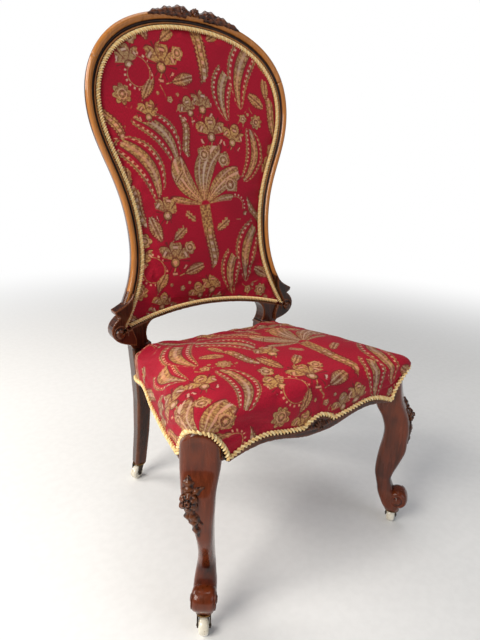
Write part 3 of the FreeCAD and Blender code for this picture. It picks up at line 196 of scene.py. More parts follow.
def form(shell: Mesh, across: int, along: int, place: Surface, closed: bool = False,
         marks: dict[str, Callable] | None = None) -> None:
    """Bend a grid into a surface and add it to a mesh in the making.

    Args:
        shell: The mesh in the making.
        across: Faces across the grid.
        along: Faces along the grid.
        place: Gives the point, in millimetres, for a share across and a share along.
        closed: Whether the grid's long sides meet and its open ends are filled.
        marks: What to keep at each point, by name: a function of the shares, or of the point for "unfold".
    """
    layers = {}
    for key in marks or {}:
        kind = shell.verts.layers.float_vector if key == "unfold" else shell.verts.layers.float
        layers[key] = kind.get(key) or kind.new(key)
    made = bmesh.ops.create_grid(shell, x_segments=across, y_segments=along, size=0.5)["verts"]
    for vert in made:
        u, v = vert.co.x + 0.5, vert.co.y + 0.5
        point = place(u, v)
        for key, layer in layers.items():
            vert[layer] = marks[key](point) * MM if key == "unfold" else marks[key](u, v)
        vert.co = point * MM
    if closed:
        bmesh.ops.remove_doubles(shell, verts=made, dist=MEET)
        edges = {e for v in made if v.is_valid for e in v.link_edges}
        bmesh.ops.holes_fill(shell, edges=[e for e in edges if e.is_boundary], sides=0)


def close_up(shell: Mesh) -> None:
    """Merge what meets in a mesh and turn its faces outwards."""
    bmesh.ops.remove_doubles(shell, verts=shell.verts, dist=TOUCH)
    bmesh.ops.recalc_face_normals(shell, faces=shell.faces)


def lathe(shell: Mesh, profile: Sequence[tuple[float, float]], centre: Vector, axis: Vector) -> None:
    """Spin a profile round an axis and add the solid to a mesh in the making.

    Args:
        shell: The mesh in the making.
        profile: Pairs of radius and place along the axis, in millimetres, from axis to axis.
        centre: The axis's zero, in millimetres.
        axis: The axis's direction.
    """
    axis = axis.normalized()
    side = axis.orthogonal().normalized()
    verts = [shell.verts.new((centre + side * r + axis * h) * MM) for r, h in profile]
    edges = [shell.edges.new(pair) for pair in zip(verts, verts[1:])]
    bmesh.ops.spin(shell, geom=verts + edges, cent=centre * MM, axis=axis, angle=math.tau,
                   steps=LATHE_STEPS, use_merge=True)
    ends = [v for v in shell.verts if (v.co - centre * MM).cross(axis).length < 1e-7]
    bmesh.ops.remove_doubles(shell, verts=ends, dist=MEET)


def keep_wear_and_shade(piece: Piece, values: Sequence[float]) -> None:
    """Keep a value of wear and painted shade, 0 to 1, at each point of a piece: high values wear the polish, low
    ones paint shade.
    """
    mesh = piece.data
    layer = mesh.attributes.get("wear") or mesh.attributes.new("wear", "FLOAT", "POINT")
    layer.data.foreach_set("value", values)


def mark_wear_and_shade(piece: Piece, reach: float, rounds: int) -> None:
    """Keep how far each point stands out of its surroundings, for the polish's wear on high places and its painted
    shade in the hollows.

    Args:
        piece: The object whose mesh is marked.
        reach: Height over the surroundings, in millimetres, that counts as fully out.
        rounds: How often the measure is spread to neighbours.
    """
    shell = bmesh.new()
    shell.from_mesh(piece.data)
    shell.normal_update()
    values = []
    for vert in shell.verts:
        near = [e.other_vert(vert).co for e in vert.link_edges]
        middle = sum(near, Vector()) / max(len(near), 1)
        values.append((vert.co - middle).dot(vert.normal) / (reach * MM))
    for _ in range(rounds):
        values = [(values[v.index] + sum(values[e.other_vert(v).index] for e in v.link_edges))
                  / (1 + len(v.link_edges)) for v in shell.verts]
    shell.free()
    keep_wear_and_shade(piece, [min(max(0.5 + 0.5 * value, 0.0), 1.0) for value in values])


def baked(piece: Piece) -> Piece:
    """Apply a piece's modifiers to its mesh and give the piece back."""
    graph = bpy.context.evaluated_depsgraph_get()
    mesh = bpy.data.meshes.new_from_object(piece.evaluated_get(graph))
    old = piece.data
    piece.modifiers.clear()
    piece.data = mesh
    bpy.data.meshes.remove(old)
    return piece


def worked_copy(name: str, node: str, voxel: float, soften: int, cut_above: float | None = None) -> Piece:
    """Copy a node of the frame and round it off as a carver does.

    Args:
        name: The new piece's name.
        node: The node to copy.
        voxel: Size of the steps, in millimetres, in which the copy is made anew.
        soften: How often the surface is smoothed.
        cut_above: Height, in millimetres, over which the copy is cut away.

    Returns:
        The piece.
    """
    shell = bmesh.new()
    shell.from_mesh(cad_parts[node].data)
    bmesh.ops.remove_doubles(shell, verts=shell.verts, dist=TOUCH)
    if cut_above is not None:
        geom = shell.verts[:] + shell.edges[:] + shell.faces[:]
        bmesh.ops.bisect_plane(shell, geom=geom, plane_co=(0, 0, cut_above * MM), plane_no=(0, 0, 1),
                               clear_outer=True)
        bmesh.ops.holes_fill(shell, edges=[e for e in shell.edges if e.is_boundary], sides=0)
    piece = make_piece(name, shell)
    remesh = piece.modifiers.new("solid", "REMESH")
    remesh.mode = "VOXEL"
    remesh.voxel_size = voxel * MM
    remesh.use_smooth_shade = True
    smooth = piece.modifiers.new("soften", "LAPLACIANSMOOTH")
    smooth.iterations = soften
    smooth.lambda_factor = 0.6
    smooth.use_volume_preserve = True
    return baked(piece)


# Shader groups


class Wire:
    """A number in a shader tree that can be added, multiplied and compared."""

    def __init__(self, tree: Tree, socket: Socket) -> None:
        """Hold on to a socket of a tree."""
        self.tree = tree
        self.socket = socket

    def math(self, kind: str, other: Wire | float | None = None, third: Wire | float | None = None) -> Wire:
        """Add a math node behind this number.

        Args:
            kind: The node's operation.
            other: The second number.
            third: The third number.

        Returns:
            The result.
        """
        node = self.tree.nodes.new("ShaderNodeMath")
        node.operation = kind
        for value, socket in zip((self, other, third), node.inputs):
            if value is not None:
                plug(self.tree, value, socket)
        return Wire(self.tree, node.outputs[0])

    def sin(self) -> Wire:
        """Take the sine."""
        return self.math("SINE")

    def cos(self) -> Wire:
        """Take the cosine."""
        return self.math("COSINE")

    def abs(self) -> Wire:
        """Take the number without its sign."""
        return self.math("ABSOLUTE")

    def __add__(self, other: Wire | float) -> Wire:
        """Add."""
        return self.math("ADD", other)

    def __sub__(self, other: Wire | float) -> Wire:
        """Take away."""
        return self.math("SUBTRACT", other)

    def __mul__(self, other: Wire | float) -> Wire:
        """Multiply."""
        return self.math("MULTIPLY", other)

    def __truediv__(self, other: Wire | float) -> Wire:
        """Divide."""
        return self.math("DIVIDE", other)

    def fades(self, start: float, end: float) -> Wire:
        """Go from 0 at the start to 1 at the end, smoothly.

        Args:
            start: Value that gives 0.
            end: Value that gives 1.

        Returns:
            The share.
        """
        node = self.tree.nodes.new("ShaderNodeMapRange")
        node.interpolation_type = "SMOOTHSTEP"
        node.inputs["From Min"].default_value = start
        node.inputs["From Max"].default_value = end
        self.tree.links.new(self.socket, node.inputs["Value"])
        return Wire(self.tree, node.outputs[0])

    def under(self, limit: Wire | float, soft: float = 0.02) -> Wire:
        """Give 1 where the number is under a limit, with a soft edge."""
        if isinstance(limit, Wire):
            return (self - limit).fades(soft, -soft)
        return self.fades(limit + soft, limit - soft)

    def near(self, middle: Wire | float, half: float, soft: float = 0.02) -> Wire:
        """Give 1 within a distance of a middle value."""
        return (self - middle).abs().under(half, soft)

    def most(self, other: Wire | float) -> Wire:
        """Take the larger of two numbers."""
        return self.math("MAXIMUM", other)

    def least(self, other: Wire | float) -> Wire:
        """Take the smaller of two numbers."""
        return self.math("MINIMUM", other)

    def rest(self) -> Wire:
        """Give what is left to 1."""
        return self.math("MULTIPLY_ADD", -1.0, 1.0)


def plug(tree: Tree, value: object, socket: Socket) -> None:
    """Link a wire or a socket to an input, or set the input to a number or a colour.

    Args:
        tree: The tree of the two.
        value: The wire, the socket, the number or the colour.
        socket: The input.
    """
    if isinstance(value, Wire):
        value = value.socket
    if isinstance(value, Socket):
        tree.links.new(value, socket)
    else:
        socket.default_value = (*value, 1.0) if isinstance(value, tuple) else value


def split(tree: Tree, place: Wire | Socket) -> tuple[Wire, ...]:
    """Split a place into its three coordinates."""
    node = tree.nodes.new("ShaderNodeSeparateXYZ")
    plug(tree, place, node.inputs[0])
    return tuple(Wire(tree, out) for out in node.outputs)


def stretched(tree: Tree, place: Wire | Socket, scale: tuple[float, float, float]) -> Socket:
    """Stretch a texture place along its axes."""
    node = tree.nodes.new("ShaderNodeMapping")
    node.inputs["Scale"].default_value = scale
    plug(tree, place, node.inputs["Vector"])
    return node.outputs[0]


def noise(tree: Tree, place: Wire | Socket, scale: float, detail: float, roughness: float = 0.55) -> Wire:
    """Add cloudy noise at a place.

    Args:
        tree: The tree to add the node to.
        place: The place.
        scale: How many clouds a metre holds.
        detail: How many finer layers they have.
        roughness: How strong the finer layers are.

    Returns:
        The noise, about 0.5.
    """
    node = tree.nodes.new("ShaderNodeTexNoise")
    for key, value in (("Scale", scale), ("Detail", detail), ("Roughness", roughness)):
        node.inputs[key].default_value = value
    plug(tree, place, node.inputs["Vector"])
    return Wire(tree, node.outputs["Fac"])


class Group:
    """A shader group with named inputs and outputs, built once."""

    def __init__(self, name: str, inputs: dict[str, object], outputs: Sequence[str]) -> None:
        """Start the group.

        Args:
            name: Its name.
            inputs: Each input's name and starting value: a number, a colour or None for a place.
            outputs: The names of its outputs; those that begin with Colour are colours.
        """
        self.tree = bpy.data.node_groups.new(name, "ShaderNodeTree")
        interface = self.tree.interface
        for key, value in inputs.items():
            kind = ("NodeSocketVector" if value is None else
                    "NodeSocketColor" if isinstance(value, tuple) else "NodeSocketFloat")
            made = interface.new_socket(name=key, in_out="INPUT", socket_type=kind)
            if isinstance(value, tuple):
                made.default_value = (*value, 1.0)
            elif value is not None:
                made.default_value = float(value)
        for key in outputs:
            kind = "NodeSocketColor" if key.startswith("Colour") else "NodeSocketFloat"
            interface.new_socket(name=key, in_out="OUTPUT", socket_type=kind)
        self.start = self.tree.nodes.new("NodeGroupInput")
        self.end = self.tree.nodes.new("NodeGroupOutput")

    def value(self, name: str) -> Wire:
        """Read one of the group's inputs."""
        return Wire(self.tree, self.start.outputs[name])

    def give(self, name: str, wire: Wire | Socket) -> None:
        """Set one of the group's outputs."""
        plug(self.tree, wire, self.end.inputs[name])


def polar(x: Wire, y: Wire) -> tuple[Wire, Wire]:
    """Turn flat coordinates into a distance and an angle."""
    return (x * x + y * y).math("SQRT"), y.math("ARCTAN2", x)


def mixed(tree: Tree, share: Wire | float, first: object, second: object) -> Socket:
    """Mix two colours.

    Args:
        tree: The tree to add the node to.
        share: Share of the second colour.
        first: The first colour, or the socket that gives it.
        second: The second colour, or the socket that gives it.

    Returns:
        The socket of the mixed colour.
    """
    node = tree.nodes.new("ShaderNodeMix")
    node.data_type = "RGBA"
    for index, value in ((0, share), (6, first), (7, second)):
        plug(tree, value, node.inputs[index])
    return node.outputs[2]


class Motif(Enum):
    """The woven figures of the cover's pattern."""

    STAR = "eight petalled star flower"
    BLOSSOM = "fan of petals on a stalk"
    PALM = "paisley palm with scalloped rows"
    BAND = "long feathered band"
    PLUME = "spray of feathers"
    LEAF = "serrated leaf"
    ROSE = "round rosette"
    SPRAY = "curl of dots"


@dataclass(frozen=True)
class Placed:
    """A figure in the pattern's tile: its middle and size in millimetres, and its turn."""

    motif: Motif
    x: float
    y: float
    size: float
    turn: float = 0.0
    bend: float = 0.0


class ClothPattern:
    """The cover's woven figures as shader groups, laid out on a repeating tile."""

    TILE = (330.0, 372.0)
    SQUARE = 16.0
    REACH = {
        Motif.STAR: (1.05, 1.05, 0, 0), Motif.BLOSSOM: (1.25, 1.15, -0.25, 0), Motif.PALM: (1.05, 0.85, 0, 0.1),
        Motif.BAND: (1.05, 0.5, 0, 0), Motif.PLUME: (1.35, 1.35, 0, -0.15), Motif.LEAF: (1.3, 0.55, -0.2, 0),
        Motif.ROSE: (1.05, 1.05, 0, 0), Motif.SPRAY: (1.15, 1.15, 0, 0),
    }
    FARTHEST = 1.6
    SEED = 11
    TRIES = 150
    KEYS = ("Gold", "Dark", "Pale")
    LAYOUT = (
        Placed(Motif.PLUME, 168, 226, 100, 0.10), Placed(Motif.BAND, 182, 104, 66, 1.45, 0.5),
        Placed(Motif.STAR, 236, 232, 27), Placed(Motif.STAR, 222, 282, 23, 0.3),
        Placed(Motif.STAR, 176, 292, 22, 0.2),
        Placed(Motif.PALM, 52, 268, 74, 2.15, 0.75), Placed(Motif.PALM, 92, 326, 66, 2.3, 0.8),
        Placed(Motif.BAND, 136, 318, 50, 2.0, -0.9), Placed(Motif.BAND, 22, 196, 56, 2.2, -0.8),
        Placed(Motif.PALM, 272, 98, 78, 1.2, -0.7), Placed(Motif.PALM, 226, 56, 64, 1.35, -0.8),
        Placed(Motif.BAND, 306, 166, 52, 1.9, 0.9), Placed(Motif.PALM, 304, 284, 60, 1.3, 0.8),
        Placed(Motif.BLOSSOM, 84, 190, 30, 1.4), Placed(Motif.BLOSSOM, 196, 346, 30, 1.6),
        Placed(Motif.BLOSSOM, 252, 334, 26, 1.3), Placed(Motif.BLOSSOM, 92, 96, 32, 1.5),
        Placed(Motif.BLOSSOM, 20, 88, 26, 1.9), Placed(Motif.BLOSSOM, 146, 12, 22, 1.9),
        Placed(Motif.BLOSSOM, 180, 24, 27, 1.5), Placed(Motif.LEAF, 54, 146, 30, -1.2),
        Placed(Motif.LEAF, 130, 172, 28, 2.5), Placed(Motif.LEAF, 110, 138, 26, 0.7),
        Placed(Motif.LEAF, 216, 152, 28, 0.6), Placed(Motif.LEAF, 138, 60, 28, 0.3),
        Placed(Motif.LEAF, 60, 40, 28, 1.1), Placed(Motif.LEAF, 312, 34, 28, 2.6),
        Placed(Motif.ROSE, 126, 106, 15), Placed(Motif.ROSE, 30, 122, 15), Placed(Motif.SPRAY, 40, 60, 36, 5.2),
        Placed(Motif.SPRAY, 250, 186, 34, 2.4), Placed(Motif.ROSE, 40, 60, 13), Placed(Motif.ROSE, 250, 186, 12),
        Placed(Motif.STAR, 8, 22, 20, 0.2), Placed(Motif.LEAF, 6, 250, 26, 1.7),
        Placed(Motif.LEAF, 118, 250, 24, 0.9), Placed(Motif.BLOSSOM, 60, 370, 22, 1.4),
    )
    FILLING = (
        (Motif.PALM, 44.0), (Motif.BAND, 40.0), (Motif.SPRAY, 28.0), (Motif.BLOSSOM, 25.0), (Motif.LEAF, 24.0),
        (Motif.STAR, 16.0), (Motif.BLOSSOM, 17.0), (Motif.LEAF, 17.0), (Motif.ROSE, 10.0), (Motif.LEAF, 12.0),
        (Motif.ROSE, 6.5), (Motif.ROSE, 4.0),
    )

    def __init__(self) -> None:
        """Build a group for each figure and fill the gaps of the layout with small ones."""
        self.groups = {motif: getattr(self, motif.name.lower())() for motif in Motif}
        self.bins: dict[tuple[int, int], list[Placed]] = {}
        for item in self.LAYOUT:
            self.sort_in(item)
        chance = random.Random(self.SEED)
        for motif, size in self.FILLING:
            for _ in range(self.TRIES):
                item = Placed(motif, chance.uniform(0, self.TILE[0]), chance.uniform(0, self.TILE[1]), size,
                              chance.uniform(0, math.tau))
                if all(self.figure_at(x, y) is None for x, y in self.rim(item)):
                    self.sort_in(item)

    def rim(self, item: Placed) -> list[tuple[float, float]]:
        """Give ten places near a figure's rim and its middle, in millimetres."""
        half_x, half_y, off_x, _ = self.REACH[item.motif]
        c, s = math.cos(item.turn) * item.size, math.sin(item.turn) * item.size
        places = []
        for k in range(10):
            a, b = off_x + half_x * 0.85 * math.cos(k * 0.63), half_y * 0.85 * math.sin(k * 0.63)
            places.append((item.x + a * c - b * s, item.y + a * s + b * c))
        return places + [(item.x, item.y)]

    @staticmethod
    def inside(item: Placed, dx: float, dy: float) -> tuple[float, float]:
        """Turn an offset from a figure's middle into the figure's own coordinates."""
        c, s = math.cos(item.turn) / item.size, math.sin(item.turn) / item.size
        return dx * c + dy * s, dy * c - dx * s

    def sort_in(self, item: Placed) -> None:
        """Note a figure in each of the tile's squares that it may reach."""
        reach = item.size * self.FARTHEST
        wide, high = self.TILE
        square = self.SQUARE
        columns, rows = (range(math.floor((middle - reach) / square), math.floor((middle + reach) / square) + 1)
                         for middle in (item.x, item.y))
        for i in columns:
            for j in rows:
                column = math.floor((i + 0.5) * square / wide)
                y = (j + 0.5) * square - column * high * 0.5
                a, b = int(((i + 0.5) * square % wide) / square), int((y % high) / square)
                for spot in ((a, b), (a, b + 1), (a, b - 1), (a + 1, b), (a - 1, b)):
                    found = self.bins.setdefault(spot, [])
                    if item not in found:
                        found.append(item)

    def figure_at(self, x: float, y: float) -> tuple[Placed, float, float] | None:
        """Find the figure that a place on the flat cloth belongs to.

        Args:
            x: Across the cloth, in millimetres.
            y: Along the cloth.

        Returns:
            The figure and the place's offset from its middle, or None on the plain ground.
        """
        wide, high = self.TILE
        first = math.floor(x / wide)
        key = (int((x - first * wide) / self.SQUARE), int(((y - first * high * 0.5) % high) / self.SQUARE))
        best, pick = 1.0, None
        for item in self.bins.get(key, ()):
            for column in (math.floor((x - item.x) / wide), math.floor((x - item.x) / wide) + 1):
                dx = x - item.x - column * wide
                if abs(dx) > item.size * self.FARTHEST:
                    continue
                dy = y - item.y - column * high * 0.5
                dy -= math.floor(dy / high + 0.5) * high
                a, b = self.inside(item, dx, dy)
                half_x, half_y, off_x, off_y = self.REACH[item.motif]
                far = ((a - off_x) / half_x) ** 4 + ((b - off_y) / half_y) ** 4
                if far < best:
                    best, pick = far, (item, dx, dy)
        return pick

    @staticmethod
    def _begin(motif: Motif) -> tuple[Group, Wire, Wire]:
        """Start a figure's group.

        Args:
            motif: The figure.

        Returns:
            The group and the two coordinates, in parts of the figure's size.
        """
        group = Group(motif.value, {"Place": None, "Bend": 0.0}, ClothPattern.KEYS)
        x, y, _ = split(group.tree, group.start.outputs["Place"])
        return group, x, y

    @staticmethod
    def _end(group: Group, *masks: Wire) -> Group:
        """Set the group's gold, dark and pale outputs and give it back."""
        for key, wire in zip(ClothPattern.KEYS, masks):
            group.give(key, wire)
        return group

    def star(self) -> Group:
        """Build the star flower."""
        group, x, y = self._begin(Motif.STAR)
        r, a = polar(x, y)
        edge = (a * 4.0).cos().abs() * 0.30 + 0.66
        inner = edge * 0.72
        petals = (a * 4.0 + math.pi / 2).cos().abs().under(0.14, 0.1)
        dark = (r - edge).near(0.035, 0.035).most((r - inner).near(0.0, 0.03)).most(r.near(0.30, 0.035))
        dark = dark.most(petals.least(r.fades(0.3, 0.34)).least(r.under(0.62)) * 0.7)
        dots = (a * 10.0).cos().fades(0.3, 0.8).least(r.near(0.22, 0.035))
        return self._end(group, r.under(edge), dark.most(dots), r.under(0.13).most(r.near(0.42, 0.05) * 0.6))

    def rose(self) -> Group:
        """Build the round rosette."""
        group, x, y = self._begin(Motif.ROSE)
        r, a = polar(x, y)
        edge = (a * 2.5).cos().abs() * 0.28 + 0.70
        dark = (r - edge).near(0.05, 0.05).most(r.near(0.38, 0.05))
        return self._end(group, r.under(edge), dark, r.under(0.2).most(r.near(0.55, 0.06) * 0.7))

    def leaf(self) -> Group:
        """Build the serrated leaf, its stalk at the near end."""
        group, x, y = self._begin(Motif.LEAF)
        along = (x + 1.0) * 0.5
        edge = (along * math.pi).sin().most(0.0).math("POWER", 0.8) * 0.42
        teeth = (along * 40.0).sin().abs() * 0.09
        side = y.abs()
        inside = (side - edge + teeth).under(0.0, 0.03).least(x.abs().under(0.98))
        veins = ((along - side * 0.5) * 50.0).sin().fades(0.55, 0.95).least(side.under(0.3))
        rim = (side - edge + teeth).near(0.05, 0.04).least(x.abs().under(1.02))
        stalk = side.under(0.04, 0.02).least(x.near(-1.2, 0.25))
        return self._end(group, inside.most(stalk), side.under(0.035).least(inside).most(veins * 0.75).most(rim),
                         side.near(0.12, 0.03).least(inside) * 0.6)

    def blossom(self) -> Group:
        """Build the fan of petals over its cup and stalk."""
        group, x, y = self._begin(Motif.BLOSSOM)
        r, a = polar(x + 0.5, y)
        fan = (a * 3.0).cos().abs().math("POWER", 0.6) * 0.62 + 0.72
        open_side = a.abs().under(1.35, 0.05)
        inside = r.under(fan).least(open_side)
        parts = (a * 3.0).cos().abs().under(0.16, 0.08).least(r.near(0.85, 0.5))
        rim = (r - fan).near(0.05, 0.045).least(open_side)
        heart = (a * 3.0).cos().abs().fades(0.75, 0.9).least(r.near(0.86, 0.16))
        cup = polar(x + 0.62, y)[0]
        stalk = (y - (x * 3.0).sin() * 0.1).abs().under(0.045).least(x.near(-1.15, 0.45))
        return self._end(group, inside.most(cup.under(0.3)).most(stalk),
                         parts.most(rim).most(cup.near(0.3, 0.05)).most(heart * 0.8), cup.under(0.14).most(
                             heart.least(r.near(0.86, 0.07))))

    def palm(self) -> Group:
        """Build the bent palm: a scalloped border round a dotted row and a solid heart."""
        group, x, y = self._begin(Motif.PALM)
        bent = y - x * x * group.value("Bend") * 0.55
        along = (x + 1.0) * 0.5
        width = along.most(0.001).math("POWER", 0.62)
        width = width * along.rest().most(0.0).math("POWER", 0.36) * 0.80
        side = bent.abs()
        depth = side / width.most(0.02)
        scallop = (along * 64.0).sin().abs() * 0.09
        within = x.abs().under(0.99)
        outer = (depth + scallop).under(1.0, 0.05).least(within)
        gap = depth.near(0.70, 0.07, 0.04)
        dots = gap.least((along * 88.0).sin().fades(0.1, 0.6))
        ground = depth.near(0.50, 0.13, 0.03)
        heart_veins = ((along - depth * 0.12) * 70.0).sin().fades(0.3, 0.9).least(depth.under(0.36))
        lines = depth.near(0.86, 0.03, 0.03).most(depth.near(0.37, 0.04, 0.03)).least(within)
        gold = outer.least(ground.most(gap).rest()).most(dots.least(within))
        return self._end(group, gold, lines.most(heart_veins.least(within) * 0.65),
                         dots.least(within).most(depth.under(0.1, 0.05).least(within) * 0.6))

    def band(self) -> Group:
        """Build the long feathered band with its toothed edges and dotted spine."""
        group, x, y = self._begin(Motif.BAND)
        bent = y - (x * 2.4).sin() * group.value("Bend") * 0.3
        along = (x + 1.0) * 0.5
        width = (along * math.pi).sin().most(0.0).math("POWER", 0.5) * 0.20
        side = bent.abs()
        teeth = (along * 56.0).sin().abs() * 0.05
        within = x.abs().under(0.98)
        inside = (side - width + teeth).under(0.0, 0.02).least(within)
        spine = side.under(0.05, 0.02).least((along * 60.0).sin().fades(-0.1, 0.4))
        rim = (side - width + teeth).near(0.03, 0.022).least(within)
        return self._end(group, inside, rim.most(side.near(0.085, 0.014, 0.012).least(inside)).most(
            spine.least(inside) * 0.5), spine.least(inside))

    def plume(self) -> Group:
        """Build the spray of feathers that fans out over a scaled trunk."""
        group, x, y = self._begin(Motif.PLUME)
        r, a = polar(x * 0.9, y + 0.35)
        turn = a - math.pi / 2 + r * r * 0.22
        feather = (turn * 4.2).cos()
        blade = feather.abs().math("POWER", 0.5)
        reach = ((turn * 1.1).cos().most(0.0) * 0.55 + 0.72) * blade
        open_side = turn.abs().under(1.45, 0.05)
        inside = r.under(reach, 0.03).least(open_side).least(r.fades(0.08, 0.12))
        barbs = ((r - feather * 0.10) * 85.0).sin().fades(0.2, 0.8)
        ribs = feather.abs().fades(0.985, 0.998)
        rim = (r - reach).near(0.03, 0.028).least(open_side)
        gaps = feather.abs().under(0.18, 0.1).least(inside)
        trunk_w = (y + 0.95).abs().under(0.6, 0.02)
        side = (x - (y * 3.0).sin() * 0.03).abs()
        trunk = side.under(0.12, 0.02).least(trunk_w)
        scales = ((y * 46.0).sin() * (x * 60.0).cos()).fades(0.1, 0.5).least(trunk)
        dark = (barbs.least(inside) * 0.55).most(rim).most(gaps).most(scales * 0.8)
        return self._end(group, inside.most(trunk), dark,
                         ribs.least(inside).most(feather.abs().near(0.8, 0.05).least(inside) * 0.7))

    def spray(self) -> Group:
        """Build the curl of dots that ends in a bud."""
        group, x, y = self._begin(Motif.SPRAY)
        r, a = polar(x, y)
        grow = (a + math.pi) / math.tau
        path = grow * 0.42 + 0.45
        stem = (r - path).near(0.0, 0.022, 0.02)
        beads = (r - path - 0.13).near(0.0, 0.05, 0.03).least((a * 17.0).cos().fades(0.2, 0.6))
        open_side = grow.near(0.5, 0.44, 0.02)
        bud = polar(x + 0.82, y + 0.1)[0]
        return self._end(group, stem.most(beads).least(open_side).most(bud.under(0.17)),
                         bud.near(0.18, 0.03), beads.least(open_side).most(bud.under(0.07)))

    def build(self) -> Group:
        """Join the figures in one group that shows the one that a face asks for.

        Returns:
            A group that gives the three masks for a spot in a figure's coordinates and the figure's number.
        """
        group = Group("woven cover", {"Spot": None, "Kind": 0.0}, self.KEYS)
        tree = group.tree
        _, _, bend = split(tree, group.start.outputs["Spot"])
        masks: dict[str, Wire] = {}
        for number, motif in enumerate(Motif):
            chosen = group.value("Kind").near(float(number), 0.3, 0.1)
            node = tree.nodes.new("ShaderNodeGroup")
            node.node_tree = self.groups[motif].tree
            tree.links.new(group.start.outputs["Spot"], node.inputs["Place"])
            tree.links.new(bend.socket, node.inputs["Bend"])
            for key in self.KEYS:
                mask = Wire(tree, node.outputs[key]) * chosen
                masks[key] = masks[key].most(mask) if key in masks else mask
        for key, wire in masks.items():
            group.give(key, wire)
        return group

    def lay(self, piece: Piece, shift: tuple[float, float]) -> None:
        """Mark each face of a cover with its figure and each corner with its spot in the figure.

        Args:
            piece: The cover, whose points carry their place on the flat cloth as "unfold".
            shift: Where the tile starts, in millimetres.
        """
        mesh = piece.data
        flat = [0.0] * (3 * len(mesh.vertices))
        mesh.attributes["unfold"].data.foreach_get("vector", flat)
        kinds: list[float] = []
        spots = [0.0] * (3 * len(mesh.loops))
        order = {motif: float(i) for i, motif in enumerate(Motif)}
        for face in mesh.polygons:
            corners = [(flat[3 * v] / MM + shift[0], flat[3 * v + 1] / MM + shift[1]) for v in face.vertices]
            x = sum(c[0] for c in corners) / len(corners)
            y = sum(c[1] for c in corners) / len(corners)
            found = self.figure_at(x, y)
            kinds.append(order[found[0].motif] if found else -1.0)
            if not found:
                continue
            item, dx, dy = found
            for loop, (cx, cy) in zip(face.loop_indices, corners):
                spots[3 * loop:3 * loop + 3] = (*self.inside(item, dx + cx - x, dy + cy - y), item.bend)
        mesh.attributes.new("kind", "FLOAT", "FACE").data.foreach_set("value", kinds)
        mesh.attributes.new("spot", "FLOAT_VECTOR", "CORNER").data.foreach_set("vector", spots)


class Shader:
    """A material in the making: a Principled shader with a texture place to start from."""

    def __init__(self, name: str, attribute: str | None = None) -> None:
        """Start the material.

        Args:
            name: The material's name.
            attribute: The attribute that its pattern follows; the object's own place when there is none.
        """
        self.material = bpy.data.materials.new(name)
        self.material.use_nodes = True
        self.tree = self.material.node_tree
        self.shader = self.tree.nodes["Principled BSDF"]
        self.place = self.tree.nodes.new("ShaderNodeTexCoord").outputs["Object"]
        if attribute:
            self.place = self.attribute(attribute, "Vector")

    def attribute(self, name: str, kind: str = "Fac") -> Wire:
        """Read an attribute of the mesh."""
        node = self.tree.nodes.new("ShaderNodeAttribute")
        node.attribute_name = name
        return Wire(self.tree, node.outputs[kind])

    def set(self, **values: object) -> None:
        """Set constant values straight on the shader; underscores stand for spaces."""
        for key, value in values.items():
            socket = self.shader.inputs[key.replace("_", " ")]
            socket.default_value = (*value, 1.0) if isinstance(value, tuple) else value

    def feed(self, name: str, source: Wire | Socket) -> None:
        """Link a changing value to one of the shader's inputs."""
        plug(self.tree, source, self.shader.inputs[name])

    def bump(self, height: Wire, distance: float, strength: float) -> None:
        """Raise the surface by a height."""
        node = self.tree.nodes.new("ShaderNodeBump")
        for key, value in (("Distance", distance), ("Strength", strength), ("Height", height)):
            plug(self.tree, value, node.inputs[key])
        self.feed("Normal", node.outputs[0])

    def use(self, group: Group, links: dict[str, object]) -> dict[str, Wire]:
        """Place a shader group in the material.

        Args:
            group: The group.
            links: Its inputs: sockets, wires, numbers or colours by name.

        Returns:
            Its outputs by name.
        """
        node = self.tree.nodes.new("ShaderNodeGroup")
        node.node_tree = group.tree
        for key, value in links.items():
            plug(self.tree, value, node.inputs[key])
        return {out.name: Wire(self.tree, out) for out in node.outputs}


def polished_wood_group() -> Group:
    """Build old french polish on walnut: grain, worn high places and painted shade in the hollows."""
    group = Group("polished wood", {"Place": None, "Wear": 0.5, "Colour dark": (0.01, 0.004, 0.002),
                                    "Colour main": (0.05, 0.02, 0.01), "Colour worn": (0.3, 0.15, 0.05),
                                    "Worn": 0.5}, ("Colour", "Roughness", "Height"))
    tree, place = group.tree, group.start.outputs["Place"]
    grain, figure, pores, patches = (
        noise(tree, stretched(tree, place, scale), 1.0, detail, 0.5) for scale, detail in (
            ((160, 160, 14), 5.0), ((26, 26, 5), 3.0), ((900, 900, 60), 2.0), ((14, 14, 14), 2.0)))
    share = (grain * 0.55 + figure * 0.45).fades(0.36, 0.62)
    base = mixed(tree, share, group.start.outputs["Colour dark"], group.start.outputs["Colour main"])
    high = (group.value("Wear") + (patches - 0.5) * 0.5).fades(0.50, 0.95) * group.value("Worn")
    worn = mixed(tree, high * (grain * 0.6 + 0.6), base, group.start.outputs["Colour worn"])
    # Painted shade: in the hollows, where the wear and shade value is low, the colour goes toward near black.
    low = (group.value("Wear") + (patches - 0.5) * 0.2).fades(0.46, 0.18) * 0.8
    group.give("Colour", mixed(tree, low, worn, paint(14, 7, 5)))
    group.give("Roughness", patches * 0.16 + grain * 0.10 + low * 0.25 + 0.14)
    group.give("Height", pores.fades(0.62, 0.45) * 0.5 + grain * 0.5)
    return group


@dataclass(frozen=True)
class WoodFinish:
    """One polish on the show-wood."""

    name: str
    dark: Colour
    main: Colour
    worn: Colour
    wear: float
    coat: float = 0.3

    def make(self, group: Group) -> Material:
        """Make the material from the shared polished wood group."""
        shader = Shader(self.name)
        # The wear attribute also paints shade into the hollows.
        out = shader.use(group, {
            "Place": shader.place, "Wear": shader.attribute("wear"), "Worn": self.wear,
            "Colour dark": self.dark, "Colour main": self.main, "Colour worn": self.worn,
        })
        shader.feed("Base Color", out["Colour"])
        shader.feed("Roughness", out["Roughness"])
        shader.bump(out["Height"], 0.00018, 0.55)
        shader.set(Coat_Weight=self.coat, Coat_Roughness=0.08, Specular_IOR_Level=0.2)
        return shader.material


